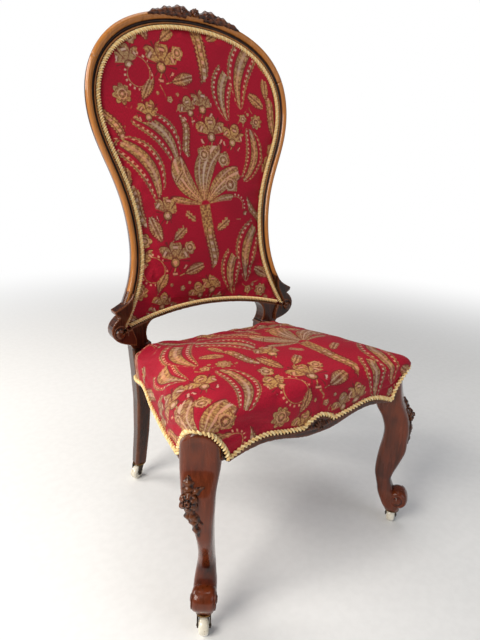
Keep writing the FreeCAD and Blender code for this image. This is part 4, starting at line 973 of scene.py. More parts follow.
class CoverFinish:
    """The woven cover: crimson ground with gold, olive and rose figures."""

    def make(self, pattern: Group) -> Material:
        """Make the material from the pattern's group."""
        shader = Shader("woven cover", "unfold")
        tree, place = shader.tree, shader.place
        kind = shader.attribute("kind")
        masks = shader.use(pattern, {"Spot": shader.attribute("spot", "Vector"), "Kind": kind})
        curls = noise(tree, place, 22.0, 1.0, 0.4).near(0.5, 0.012, 0.012).least(
            noise(tree, stretched(tree, place, (1.3, 0.9, 1)), 17.0, 1.0).fades(0.46, 0.5))
        masks["Gold"] = masks["Gold"].most(curls.least(kind.under(-0.5, 0.2)) * 0.9)
        clouds = noise(tree, place, 9.0, 2.0)
        threads = noise(tree, stretched(tree, place, (900, 260, 1)), 1.0, 2.0)
        ground = mixed(tree, threads.fades(0.35, 0.65), paint(142, 4, 30), paint(170, 8, 42))
        ground = mixed(tree, clouds.fades(0.35, 0.7) * 0.35, ground, paint(120, 4, 28))
        metal = mixed(tree, clouds.fades(0.42, 0.58), paint(196, 150, 86), paint(158, 132, 92))
        metal = mixed(tree, threads.fades(0.3, 0.75) * 0.55, metal, paint(122, 84, 48))
        pale = mixed(tree, clouds.fades(0.4, 0.6), paint(222, 150, 118), paint(196, 168, 150))
        cells = tree.nodes.new("ShaderNodeTexVoronoi")
        cells.inputs["Scale"].default_value = 260.0
        plug(tree, place, cells.inputs["Vector"])
        spots = Wire(tree, cells.outputs["Distance"])
        metal = mixed(tree, spots.fades(0.45, 0.75) * 0.75, metal, paint(112, 44, 30))
        metal = mixed(tree, spots.fades(0.22, 0.10) * 0.5, metal, paint(232, 190, 130))
        colour = mixed(tree, masks["Gold"] * 0.95, ground, metal)
        colour = mixed(tree, masks["Dark"] * 0.80, colour, paint(92, 30, 26))
        colour = mixed(tree, masks["Pale"] * 0.75, colour, pale)
        shader.feed("Base Color", colour)
        shader.feed("Roughness", masks["Gold"] * -0.16 + threads * 0.12 + 0.66)
        u, v, _ = split(tree, place)
        rib = ((u + v) * 5200.0).sin() * 0.5 + (v * 7800.0).sin() * 0.5
        shader.bump(rib * 0.3 + masks["Gold"] * 0.7 - masks["Dark"] * 0.5 + threads * 0.5, 0.00035, 0.55)
        shader.set(Sheen_Weight=0.10, Sheen_Roughness=0.4, Sheen_Tint=paint(255, 150, 150),
                   Specular_IOR_Level=0.22)
        return shader.material


@dataclass(frozen=True)
class RopeFinish:
    """Twisted gimp: two plies of silky thread."""

    name: str
    light: Colour
    deep: Colour

    def make(self) -> Material:
        """Make the material."""
        shader = Shader(self.name)
        tree = shader.tree
        ply, twist = (shader.attribute(key) for key in ("ply", "twist"))
        spots = noise(tree, shader.place, 160.0, 2.0)
        colour = mixed(tree, ply * 0.8, self.light, self.deep)
        lines = twist.sin() * 0.5 + 0.5
        colour = mixed(tree, lines.fades(0.5, 1.0) * 0.25, colour, paint(186, 134, 74))
        shader.feed("Base Color", mixed(tree, spots.fades(0.55, 0.75) * 0.35, colour, paint(172, 118, 70)))
        shader.feed("Roughness", spots * 0.2 + 0.42)
        shader.bump(lines, 0.00025, 0.7)
        shader.set(Sheen_Weight=0.1, Sheen_Roughness=0.4, Specular_IOR_Level=0.35)
        return shader.material


@dataclass(frozen=True)
class PlainFinish:
    """A finish with cloudy colour, fine bump and a steady gloss."""

    name: str
    first: Colour
    second: Colour
    roughness: tuple[float, float]
    metallic: float = 0.0
    scale: float = 60.0
    relief: float = 0.0001
    coat: float = 0.0
    spots: Colour | None = None
    weave: float = 0.0

    def make(self) -> Material:
        """Make the material."""
        shader = Shader(self.name)
        tree = shader.tree
        clouds = noise(tree, shader.place, self.scale, 4.0)
        fine = noise(tree, shader.place, self.scale * 9, 3.0)
        colour = mixed(tree, clouds.fades(0.35, 0.65), self.first, self.second)
        if self.spots:
            colour = mixed(tree, fine.fades(0.58, 0.72) * clouds.fades(0.4, 0.6), colour, self.spots)
        shader.feed("Base Color", colour)
        low, high = self.roughness
        shader.feed("Roughness", clouds * (high - low) + fine * 0.08 + low)
        height = fine
        if self.weave:
            a, b, c = (wire * (math.tau / (self.weave * MM)) for wire in split(tree, shader.place))
            height = (a.sin() * (b + c).sin()) * 0.5 + fine * 0.5
        shader.bump(height, self.relief, 0.6)
        shader.set(Metallic=self.metallic, Coat_Weight=self.coat, Coat_Roughness=0.06)
        return shader.material


class Finishes:
    """Every material of the chair, made once."""

    def __init__(self) -> None:
        """Make them."""
        wood = polished_wood_group()
        self.pattern = ClothPattern()
        self.cover = CoverFinish().make(self.pattern.build())
        self.frame, self.leg, self.carved, self.rail = (finish.make(wood) for finish in (
            WoodFinish("frame polish", paint(44, 19, 8), paint(100, 54, 22), paint(184, 118, 54), 0.8),
            WoodFinish("leg polish", paint(24, 6, 2), paint(78, 26, 9), paint(126, 56, 22), 0.5, 0.42),
            WoodFinish("carved polish", paint(24, 9, 4), paint(66, 29, 14), paint(118, 64, 30), 0.6),
            WoodFinish("rail polish", paint(28, 10, 5), paint(70, 29, 14), paint(120, 62, 30), 0.5)))
        self.rope = RopeFinish("gimp rope", paint(250, 228, 172), paint(236, 196, 128)).make()
        self.beech = PlainFinish("beech", paint(170, 128, 84), paint(146, 104, 64), (0.6, 0.75)).make()
        self.hessian = PlainFinish("hessian", paint(158, 130, 92), paint(132, 104, 70), (0.85, 0.95), weave=2.4,
                                   relief=0.0005).make()
        self.webbing = PlainFinish("webbing", paint(176, 158, 126), paint(150, 130, 100), (0.8, 0.9), weave=3.0,
                                   relief=0.0005).make()
        self.dust = PlainFinish("dust cloth", paint(30, 28, 28), paint(44, 41, 40), (0.85, 0.95), weave=1.4,
                                relief=0.0003).make()
        self.steel = PlainFinish("spring wire", paint(120, 84, 60), paint(90, 66, 52), (0.35, 0.5),
                                 metallic=1.0).make()
        self.iron = PlainFinish("castor iron", paint(46, 40, 36), paint(74, 62, 50), (0.35, 0.6), metallic=0.9,
                                scale=120, spots=paint(96, 58, 34), relief=0.0002).make()
        self.brass = PlainFinish("castor brass", paint(150, 112, 60), paint(104, 78, 44), (0.3, 0.5), metallic=1.0,
                                 scale=140, spots=paint(56, 42, 28)).make()
        self.ceramic = PlainFinish("glazed china", paint(232, 226, 210), paint(216, 206, 184), (0.12, 0.22),
                                   scale=45, spots=paint(150, 128, 98), relief=0.00005, coat=0.5).make()


# Shapes that more than one part follows


@dataclass(frozen=True)
class BackShape:
    """The back's gimp line in front view and the swept surface that it lies on."""

    runs: tuple[tuple[tuple[float, float], ...], ...] = (
        ((199.5, 396.0), (171.0, 446.0), (146.5, 489.5), (146.5, 560.0)),
        ((146.5, 560.0), (146.5, 691.0), (206.3, 740.8), (206.3, 822.0)),
        ((206.3, 822.0), (206.3, 911.9), (127.9, 967.0), (0.0, 967.0)),
    )
    crest: float = 3.0
    crest_z: float = 967.0
    corner: tuple[float, float] = (199.5, 396.0)
    arch_rise: float = 28.0
    widest: float = 206.3
    low_y: float = 164.0
    sweep: float = 64.0
    sweep_z: tuple[float, float] = (365.0, 520.0)
    bow: float = 16.0
    gimp: float = 4.8
    first: float = -0.06
    last: float = 2.985

    def edge(self, place: float, out: float = 0.0) -> tuple[float, float]:
        """Find a point beside the gimp line.

        Args:
            place: Place along the line, 0 at the right corner, 3 at the crest and 6 at the left corner.
            out: Distance outside the line.

        Returns:
            Its X and Z.
        """
        sign = 1.0
        if place > self.crest:
            place, sign = 2 * self.crest - place, -1.0
        span = min(int(max(place, 0.0)), 2)
        t = place - span
        a, b, c, d = (Vector(p) for p in self.runs[span])
        s = 1 - t
        point = a * s ** 3 + b * (3 * s * s * t) + c * (3 * s * t * t) + d * t ** 3
        slope = ((b - a) * (s * s) + (c - b) * (2 * s * t) + (d - c) * (t * t)).normalized()
        point += Vector((slope.y, -slope.x)) * out
        return sign * point.x, point.y

    def depth(self, x: float, z: float) -> float:
        """Give the surface's Y at a point of the front view."""
        start, over = self.sweep_z
        return self.low_y + self.sweep * ease((z - start) / over) - self.bow * (x / self.widest) ** 2

    def point(self, place: float, out: float, behind: float) -> Vector:
        """Give the point beside the gimp line at a depth behind the surface."""
        x, z = self.edge(place, out)
        return Vector((x, self.depth(x, z) + behind, z))

    def arch(self, x: float, out: float = 0.0) -> float:
        """Give the height of the lower edge's arch, moved down by a distance."""
        half, rise = self.corner[0], self.arch_rise
        radius = (half * half + rise * rise) / (2 * rise)
        return self.corner[1] + rise - radius + math.sqrt((radius - out) ** 2 - x * x)

    def fullness(self, x: float, z: float, line: float) -> float:
        """Give how far the padding swells at a point, from 0 to 1."""
        flat = max(line - self.gimp, 0.94 * line)
        across = min(abs(x) / max(flat, 1e-6), 1.0)
        low, high = self.arch(min(abs(x), 190.0), -self.gimp), self.crest_z - self.gimp
        rise = min(max((z - low) / (high - low), 0.0), 1.0)
        return (1 - across ** 2.6) ** 0.75 * max(math.sin(math.pi * rise), 0.0) ** 0.5

    def sheet(self, out: float, behind: Callable[[float, float, float], float]) -> Surface:
        """Give a function that spreads a grid over the back inside its outline and above its arch.

        Args:
            out: How far the grid reaches outside the gimp line.
            behind: Depth behind the surface for a point and the line's half width there.

        Returns:
            The function, for a share across and a share up.
        """
        def place(u: float, v: float) -> Vector:
            f = 2 * u - 1
            f = math.copysign(1 - (1 - abs(f)) ** 1.25, f)
            station = min(self.first + 3.045 * (1 - (1 - v) ** 1.12), self.last)
            half, z = self.edge(station, out)
            x = half * f
            top = self.crest_z + out
            lift = (self.arch(x, out) - self.edge(self.first, out)[1]) * (1 - v) * (1 - abs(f) ** 10)
            z = z + lift * (top - z) / (top - self.corner[1])
            line = self.edge(station)[0]
            return Vector((x, self.depth(x, z) + behind(x, z, line), z))
        return place


@dataclass(frozen=True)
class SeatShape:
    """The padded seat's plan and the line that its gimp follows."""

    front: float = -215.0
    rear: float = 146.0
    rear_x: float = 184.0
    side_x: float = 236.0
    end_x: float = 184.0
    end_z: float = 299.0
    side_z: float = 289.0
    knee_z: float = 357.0
    knee_y: float = -151.0

    def plan(self) -> list[Vector]:
        """Give the right half of the plan, from its rear corner to the front's middle."""
        side, front = self.side_x, self.front
        slope = (side - 2 - self.rear_x) / (self.rear - front - 65)
        run = [(self.rear_x - 5, self.rear)]
        run += [(self.rear_x + slope * (self.rear - y), y) for y in (130, 60, -10, -80)]
        run += [(side - 2, front + 65), (side, front + 40), (side, front + 19), (side - 6, front + 4),
                (side - 20, front - 2), (side - 36, front - 1.5), (self.end_x - 8, front - 1),
                (self.end_x - 50, front), (60, front), (-60, front)]
        points = [p for p in through([(x, y, 0) for x, y in run], 24) if p.x >= 0]
        return points + [Vector((0, front, 0))]

    def front_line(self) -> list[Vector]:
        """Give the gimp line of the front rail from the right knee to the middle, as X and Z."""
        side = [(184, 299), (148, 313), (112, 317.5), (73, 310.2), (34, 304)]
        nose = [(34, 304), (22, 313), (0, 320), (-22, 313)]
        run = through(side, 6) + [p for p in through(nose, 6) if p.x >= 0][1:]
        return [Vector((p.x, 0, p.y)) for p in run]

    def side_line(self, y: float) -> float:
        """Give the gimp's height on a side rail."""
        t = (y - self.knee_y) / (self.rear - 10 - self.knee_y)
        if t < 0.5:
            return self.side_z - 4.0 * math.sin(math.pi * max(t, 0.0) / 0.5) ** 2
        return self.side_z + 15.0 * math.sin(math.pi * min((t - 0.5) / 0.5, 1.0)) ** 2

    def gimp(self) -> list[tuple[Vector, float]]:
        """Give the right half of the plan with the gimp's height at each point."""
        points = self.plan()
        knee = [i for i, p in enumerate(points) if p.y < self.knee_y and (p.x > self.end_x or p.y > -200)]
        first, last = knee[0], knee[-1]
        line = self.front_line()
        out = []
        for i, p in enumerate(points):
            if i < first:
                z = self.side_line(p.y)
            elif i <= last:
                t = 1 - (i - first) / (last - first)
                base = self.end_z + (self.side_z - self.end_z) * t
                z = base + (self.knee_z - base) * max(math.sin(math.pi * t), 0.0) ** 0.55
            else:
                j = min(range(len(line)), key=lambda k: abs(line[k].x - p.x))
                k = j + 1 if (j + 1 < len(line) and line[j].x > p.x) else max(j - 1, 0)
                a, b = line[j], line[k]
                z = a.z + (b.z - a.z) * ((p.x - a.x) / (b.x - a.x) if b.x != a.x else 0)
            out.append((p, z))
        return out

    def edge_z(self, y: float) -> float:
        """Give the height of the rolled edge at a depth."""
        return 344.0 + 31.0 * min(max((30 - y) / 230, 0.0), 1.0)

    def top_z(self, y: float) -> float:
        """Give the height of the crown at a depth."""
        return 389.0 - 0.00066 * (y + 80) ** 2


BACK = BackShape()
SEAT = SeatShape()


# The parts


@dataclass
class MouldedFrame:
    """The moulded show-wood round the back: two uprights with their necks, and the crest."""

    joint: float = 2.25
    wider: float = 4.0
    ear: tuple[float, float] = (212.0, 388.0)
    ear_y: float = 140.6
    neck_top: float = 470.0
    section: tuple[tuple[float, float], ...] = (
        (-7.0, 7.4), (5.2, 7.4), (5.2, 1.2), (6.0, -0.3), (7.6, -0.4), (8.8, 0.6), (9.3, 2.0), (10.2, 2.6),
        (11.3, 2.1), (12.0, 0.4), (13.2, -2.6), (15.2, -4.8), (17.8, -5.6), (20.4, -4.8), (22.4, -2.2),
        (23.4, 1.4), (23.5, 4.0), (22.9, 9.0), (21.6, 15.0), (19.6, 21.0), (16.6, 26.5), (13.4, 29.3), (9.5, 30.0),
        (7.0, 30.0), (7.0, 27.2), (-17.5, 27.2), (-17.5, 12.6), (-7.0, 12.6),
    )

    def ring(self, place: float) -> list[Vector]:
        """Give the moulding's section at a place along the gimp line."""
        near = ease((min(place, 6 - place) - 1.9) / 0.7)
        points = []
        for out, behind in self.section:
            spread = near * self.wider * max(out - 7.0, 0.0) / 16.5
            points.append(BACK.point(place, out + spread, behind))
        return points

    @staticmethod
    def worn(out: float, behind: float) -> float:
        """Give the wear and painted shade of a point of the section: worn high on its rolls, low in its groove,
        where the polish is painted dark as shade.
        """
        if out > 12.5 and behind < 2:
            return 1.0
        if out < 8 and behind < 0.8:
            return 0.85
        if 8.5 < out < 12.3 and behind > 0:
            return 0.08
        return 0.4 if behind > 20 else 0.5

    def sweep(self, name: str, start: float, end: float, steps: int) -> Piece:
        """Sweep the moulding along a stretch of the gimp line.

        Args:
            name: The piece's name.
            start: Place where the stretch starts.
            end: Place where it ends.
            steps: Faces along it.

        Returns:
            The piece.
        """
        shell = bmesh.new()
        count = len(self.section)
        # Wear and painted shade of each point of the section.
        wear = [self.worn(out, behind) for out, behind in self.section]

        def at(u: float, v: float) -> Vector:
            ring = self.ring(start + (end - start) * v)
            return ring[round(u * count) % count]

        form(shell, count, steps, at, closed=True,
             marks={"wear": lambda u, v: wear[round(u * count) % count]})
        close_up(shell)
        return make_piece(name, shell)

    def build(self, finishes: Finishes) -> None:
        """Build the moulding, the necks and the rear legs."""
        crest = self.sweep("crest_moulding", self.joint, 6 - self.joint, 96)
        dress(crest, finishes.frame, "frame_wood", "crest_rail")
        for side in Side:
            first, last = (0.0, self.joint) if side is Side.RIGHT else (6 - self.joint, 6.0)
            node = f"{side.word}_back_upright"
            moulding = self.sweep(f"{side.word}_moulding", first, last, 120)
            dress(moulding, finishes.frame, "frame_wood", node)
            stile = worked_copy(f"{side.word}_neck_and_leg", node, 1.5, 8, self.neck_top)
            mark_wear_and_shade(stile, 0.10, 4)
            dress(stile, finishes.carved, "frame_wood", node)
            scroll = worked_copy(f"{side.word}_ear", f"{side.word}_ear_scroll", 1.1, 10)
            mark_wear_and_shade(scroll, 0.08, 3)
            dress(scroll, finishes.carved, "carved_wood", f"{side.word}_ear_scroll")
            self.ear_lines(side, finishes)
        rail = worked_copy("arched_rail", "lower_back_rail", 1.4, 6)
        mark_wear_and_shade(rail, 0.10, 3)
        dress(rail, finishes.carved, "frame_wood", "lower_back_rail")

    def ear_lines(self, side: Side, finishes: Finishes) -> None:
        """Carve the raised spiral on an ear's face."""
        shell = bmesh.new()
        x, z = self.ear
        route = spiral(Vector((x * side.value, self.ear_y, z)), Vector((side.value, 0, 0)), UP * 1.12, FORWARD,
                       (2.2, 7.6), (5.0, 12.5), 60)
        tube(shell, route, 1.7, 60)
        close_up(shell)
        piece = make_piece(f"{side.word}_ear_spiral", shell)
        keep_wear_and_shade(piece, [0.75] * len(piece.data.vertices))
        dress(piece, finishes.carved, "carved_wood", f"{side.word}_ear_scroll")


def spiral(centre: Vector, across: Vector, up: Vector, outward: Vector, turn: tuple[float, float],
           reach: tuple[float, float], count: int) -> Route:
    """Wind a spiral in a plane.

    Args:
        centre: Its centre.
        across: The direction from which its angles count.
        up: The direction a quarter turn further.
        outward: The direction off the plane.
        turn: Its first angle, and how far it turns, in radians.
        reach: Its first radius, and how much it grows.
        count: How many points it gets.

    Returns:
        The spiral's route.
    """
    points = []
    for i in range(count):
        t = i / (count - 1)
        a, r = turn[0] + t * turn[1], reach[0] + t * reach[1]
        points.append(centre + across * (math.cos(a) * r) + up * (math.sin(a) * r))
    return Route(points, [outward] * count)


def tube(shell: Mesh, route: Route, radius: float, steps: int) -> None:
    """Add a round bead that follows a route and thins toward its ends.

    Args:
        shell: The mesh in the making.
        route: The route.
        radius: The bead's radius, in millimetres.
        steps: Faces along it.
    """
    def at(u: float, v: float) -> Vector:
        point, off, across = route.frame(v)
        r = radius * (0.35 + 0.65 * math.sin(math.pi * min(max(v, 0.0), 1.0)) ** 0.5)
        return point + off * (r * math.cos(u * math.tau)) + across * (r * math.sin(u * math.tau))
    form(shell, 8, steps, at, closed=True)


def dress(piece: Piece, material: Material, slot: str, *nodes: str, body: str = BODY) -> None:
    """Give a piece its finish, seat it on its body and let it stand for its nodes.

    Args:
        piece: The piece.
        material: Its finish.
        slot: A slot name for the finish; not used.
        nodes: The nodes that it stands for.
        body: The body that it rides on.
    """
    piece.data.materials.clear()
    piece.data.materials.append(material)
    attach(piece, body)
    if nodes:
        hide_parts(*nodes)
    LOG.info("%s: %d faces", piece.name, len(piece.data.polygons))


@dataclass
class CabrioleLegs:
    """The two front legs: smooth cabriole bodies that end in a scrolled toe."""

    zero: tuple[float, float] = (207.5, -200.0)
    turn: float = 54.0
    scroll_out: float = 38.5
    scroll_z: float = 68.0
    scroll_r: float = 20.0
    scroll_w: float = 36.0
    arch_low: float = -31.0
    arch_high: float = 59.0
    foot_z: float = 38.0
    top_z: float = 352.4
    slices: tuple[tuple[float, ...], ...] = (
        (38, 18, 43, 2, 28, .75), (47, 11, 45, 2, 34, .75), (60, 4.5, 43, 2, 37, .75), (78, -3, 34, 2, 37, .8),
        (92, -6, 26, 2, 34, .85), (108, -10, 21, 1.5, 30, .85), (122, -13, 23, 1.5, 27, .85),
        (145, -13, 31, 1.5, 25.5, .85), (175, -10, 40.5, 2.5, 26.5, .8), (200, -6.5, 41.5, 5.5, 33, .8),
        (225, -7, 42, 9.5, 43, .75), (250, -15.5, 37.5, 13, 52, .7), (270, -27, 30, 13, 58, .7),
        (290, -30, 21.5, 12.5, 63, .7), (312, -32, 17, 13, 63, .7), (332, -34, 15, 13, 62, .7),
        (352.4, -34, 17, 13, 58, .7),
    )

    def __post_init__(self) -> None:
        """Smooth the slices."""
        self.run = through(self.slices, 6)

    def spot(self, side: Side, out: float, across: float, z: float) -> Vector:
        """Give a point in a leg's own directions: outwards, across and up."""
        a = math.radians(self.turn)
        x = self.zero[0] + math.cos(a) * out + math.sin(a) * across
        y = self.zero[1] - math.sin(a) * out + math.cos(a) * across
        return Vector((x * side.value, y, z))

    def skin(self, side: Side, z: float, angle: float, lift: float = 0.0) -> Vector:
        """Give a point of a leg's surface.

        Args:
            side: Which leg.
            z: Its height.
            angle: Direction from the leg's middle, 0 outwards and a quarter turn across.
            lift: Distance outside the surface.

        Returns:
            The point.
        """
        heights = [row[0] for row in self.run]
        i = max(min(next((k for k, h in enumerate(heights) if h >= z), len(heights) - 1), len(heights) - 1), 1)
        t = min(max((z - heights[i - 1]) / (heights[i] - heights[i - 1]), 0.0), 1.0)
        row = self.run[i - 1].lerp(self.run[i], t)
        _, inner, outer, middle, width, roundness = row
        power = 2 / (2.1 + (1 - roundness) * 6.0)
        c, s = math.cos(angle), math.sin(angle)
        x = math.copysign(abs(c) ** power, c) * ((outer - inner) / 2 + lift)
        y = math.copysign(abs(s) ** power, s) * (width / 2 + lift)
        return self.spot(side, (inner + outer) / 2 + x, middle + y, z)

    def top(self, side: Side, angle: float) -> float:
        """Give the height at which the leg's surface meets the gimp's arch at an angle."""
        spot = self.skin(side, 330.0, angle)
        base = Vector((self.zero[0] * side.value, self.zero[1], 0))
        aside = self.spot(side, 0, 1, 0) - self.spot(side, 0, 0, 0)
        across = (spot - base).dot(aside)
        share = min(max((across - self.arch_low) / (self.arch_high - self.arch_low), 0.0), 1.0)
        return min(296.0 + 58.0 * max(math.sin(math.pi * share), 0.0) ** 0.55, self.top_z)

    def build(self, finishes: Finishes) -> None:
        """Build both legs."""
        for side in Side:
            shell = bmesh.new()
            around = 64
            tops = [self.top(side, i * math.tau / around) for i in range(around)]

            def at(u: float, v: float) -> Vector:
                top = tops[round(u * around) % around]
                z = self.foot_z + (top - self.foot_z) * v
                dome = 7.0 * ease((z - (top - 16)) / 16) ** 2
                return self.skin(side, z, u * math.tau, -dome)
            form(shell, around, 150, at, closed=True)
            centre = self.spot(side, self.scroll_out, 2.0, self.scroll_z)
            axis = (self.spot(side, 0, 1, 0) - self.spot(side, 0, 0, 0)).normalized()
            half, r = self.scroll_w / 2, self.scroll_r
            profile = [(0, -half - 3.6), (4.5, -half - 3.6), (6.6, -half - 2.4), (7.4, -half), (9.5, -half + 0.6),
                       (12, -half - 0.4), (15, -half), (17.4, -half + 1.6), (19, -half + 5), (r, -half + 10)]
            profile += [(a, -b) for a, b in reversed(profile)]
            lathe(shell, profile, centre, axis)
            for end in (-1, 1):
                route = spiral(centre + axis * (half + 0.2) * end, self.out(side), UP, axis * end, (0.6, 6.9),
                               (8.5, 8.5), 50)
                tube(shell, route, 1.5, 50)
            close_up(shell)
            leg = make_piece(f"{side.word}_cabriole", shell)
            mark_wear_and_shade(leg, 0.06, 6)
            dress(leg, finishes.leg, "frame_wood", f"{side.word}_front_leg")

    def out(self, side: Side) -> Vector:
        """Give the outward direction of a leg."""
        return (self.spot(side, 1, 0, 0) - self.spot(side, 0, 0, 0)).normalized()


class Carving:
    """Carved ornament: leaves, husks and rosettes laid on a surface."""

    def __init__(self, name: str) -> None:
        """Start a carving."""
        self.name = name
        self.shell = bmesh.new()

    def leaf(self, root: Vector, tip: Vector, out: Vector, width: float, height: float, curl: float,
             lobes: int) -> None:
        """Add a lobed leaf with a raised rib.

        Args:
            root: Where it grows from.
            tip: Where it ends.
            out: The direction off the ground.
            width: Its half width.
            height: How far it stands off the ground.
            curl: How far its middle bends aside, as a share of its length.
            lobes: How many lobes each edge has.
        """
        along = tip - root
        across = along.cross(out).normalized()

        def at(u: float, v: float) -> Vector:
            bulge = math.sin(math.pi * min(v * 0.92 + 0.08, 1.0)) ** 0.7
            cut = 1 - 0.30 * abs(math.sin(lobes * math.pi * v)) ** 2 if 0.06 < v < 0.97 else 1.0
            half = width * bulge * cut + 0.2
            a = u * math.tau
            x, h = math.cos(a), math.sin(a)
            rise = 0.0
            if h >= 0:
                rise = height * (0.25 + 0.75 * bulge) * (0.55 + 0.45 * abs(math.cos(x * math.pi * 0.5)) ** 3)
                rise *= 1 - abs(x) ** 4 * 0.75
                rise *= 0.86 + 0.14 * math.cos(v * lobes * math.tau)
            side = across * (x * half) + across * (curl * along.length * math.sin(math.pi * v))
            return root + along * v + side + out * (rise if h >= 0 else -1.5)
        form(self.shell, 20, 28, at, closed=True)

    def rosette(self, centre: Vector, out: Vector, radius: float, height: float, petals: int) -> None:
        """Add a flower with a ring of petals round a bead.

        Args:
            centre: Its middle on the ground.
            out: The direction off the ground; its first petal points as far up as that allows.
            radius: Its radius.
            height: How far it stands off the ground.
            petals: How many petals it has.
        """
        out = out.normalized()
        up = (UP - out * UP.dot(out)).normalized()
        across = out.cross(up)

        def at(u: float, v: float) -> Vector:
            a = u * math.tau
            edge = radius * (0.80 + 0.20 * abs(math.cos(a * petals / 2)))
            r = edge * (1 - v)
            share = 1 - v
            h = height * (0.55 + 0.45 * math.sin(math.pi * min(share * 1.15, 1.0)))
            h *= 0.72 + 0.28 * abs(math.cos(a * petals / 2)) if share > 0.34 else 1.0
            bead, groove = ease((0.36 - share) / 0.14), math.exp(-((share - 0.40) / 0.05) ** 2)
            h += height * 0.45 * bead - height * 0.35 * groove
            h = -1.5 if v == 0 else h
            return centre + across * (r * math.sin(a)) + up * (r * math.cos(a)) + out * h
        form(self.shell, 48, 16, at, closed=True)

    def finish(self, finishes: Finishes, node: str) -> None:
        """Close the carving and dress it."""
        close_up(self.shell)
        piece = make_piece(self.name, self.shell)
        mark_wear_and_shade(piece, 0.25, 1)
        dress(piece, finishes.carved, "carved_wood", node)


@dataclass
class Ornament:
    """The chair's carved ornaments: crest, knees and the middle of the front rail."""

    band: float = 27.5
    knee_turn: float = 15.0
    rail_y: float = -216.6

    def crest(self, finishes: Finishes) -> None:
        """Carve the leafy cresting."""
        carving = Carving("crest_leaves")
        out = Vector((0, -1, 0.25)).normalized()

        def on(place: float, rise: float, behind: float = -5.5) -> Vector:
            return BACK.point(place, self.band + rise, behind)
        for sign in (-1, 1):
            for near, far, low, high, width in (
                    (0.02, 0.14, -4, 2, 9), (0.10, 0.21, -4, -1, 8), (0.17, 0.28, -5, -3.5, 6),
                    (0.05, 0.17, -9.5, -8, 5)):
                carving.leaf(on(3 + sign * near, low), on(3 + sign * far, high), out, width, 6.0, 0.08 * sign, 3)
            for near, rise in ((0.05, 3.5), (0.10, 1.5), (0.15, -0.5), (0.20, -2.5)):
                tip = on(3 + sign * (near + 0.024), rise + 3, 0)
                carving.leaf(on(3 + sign * near, rise - 8, -1), tip, out, 6.5, 5.0, 0.05 * sign, 2)
            carving.rosette(on(3 + sign * 0.068, 0.5, -7.0), out, 6.5, 5.0, 5)
        carving.leaf(on(3, -4, -2), on(3, 8.5, 0), out, 9.0, 6.5, 0.0, 3)
        carving.rosette(on(3, 0.0, -7.5), out, 8.0, 5.5, 7)
        carving.finish(finishes, "crest_carving")

    def knees(self, legs: CabrioleLegs, finishes: Finishes) -> None:
        """Carve the pendant of flower and leaves on each knee."""
        for side in Side:
            carving = Carving(f"{side.word}_knee_pendant")
            turn = math.radians(self.knee_turn)

            def on(z: float, aside: float = 0.0) -> Vector:
                return legs.skin(side, z - 9.0, turn + aside)

            def away(z: float) -> Vector:
                up = (on(z + 4) - on(z - 4)).normalized()
                across = (on(z, 0.12) - on(z, -0.12)).normalized()
                n = up.cross(across).normalized()
                return n if n.dot(legs.out(side)) > 0 else -n
            carving.leaf(on(264), on(293), away(280), 10.5, 5.5, 0.0, 3)
            for aside in (-0.38, 0.38):
                curl = math.copysign(0.1, aside)
                carving.leaf(on(262, aside * 0.3), on(279, aside), away(270), 6.5, 5.0, curl, 2)
                carving.leaf(on(246, aside * 0.2), on(222, aside * 0.85), away(236), 7.5, 6.0, 0.12, 2)
            carving.rosette(on(257), away(257), 15.5, 8.5, 6)
            carving.leaf(on(247), on(213), away(231), 9.5, 7.0, 0.0, 3)
            carving.leaf(on(224), on(198), away(212), 6.5, 5.0, 0.0, 2)
            carving.finish(finishes, f"{side.word}_knee_carving")

    def cartouche(self, finishes: Finishes) -> None:
        """Carve the small shell in the middle of the front rail."""
        carving = Carving("rail_shell")
        y = self.rail_y
        for turn in (-1.25, -0.8, -0.4, 0.0, 0.4, 0.8, 1.25):
            tip = Vector((math.sin(turn) * 15.5, y, 297 + math.cos(turn) * 14.5))
            carving.leaf(Vector((math.sin(turn) * 2, y, 297)), tip, FORWARD, 3.6, 5.5, 0.0, 1)
        for sign in (-1, 1):
            tip = Vector((33 * sign, y, 299))
            carving.leaf(Vector((6 * sign, y, 296)), tip, FORWARD, 5.0, 4.2, -0.10 * sign, 4)
        carving.rosette(Vector((0, y, 297)), FORWARD, 5.5, 6.5, 5)
        carving.finish(finishes, "front_rail_carving")


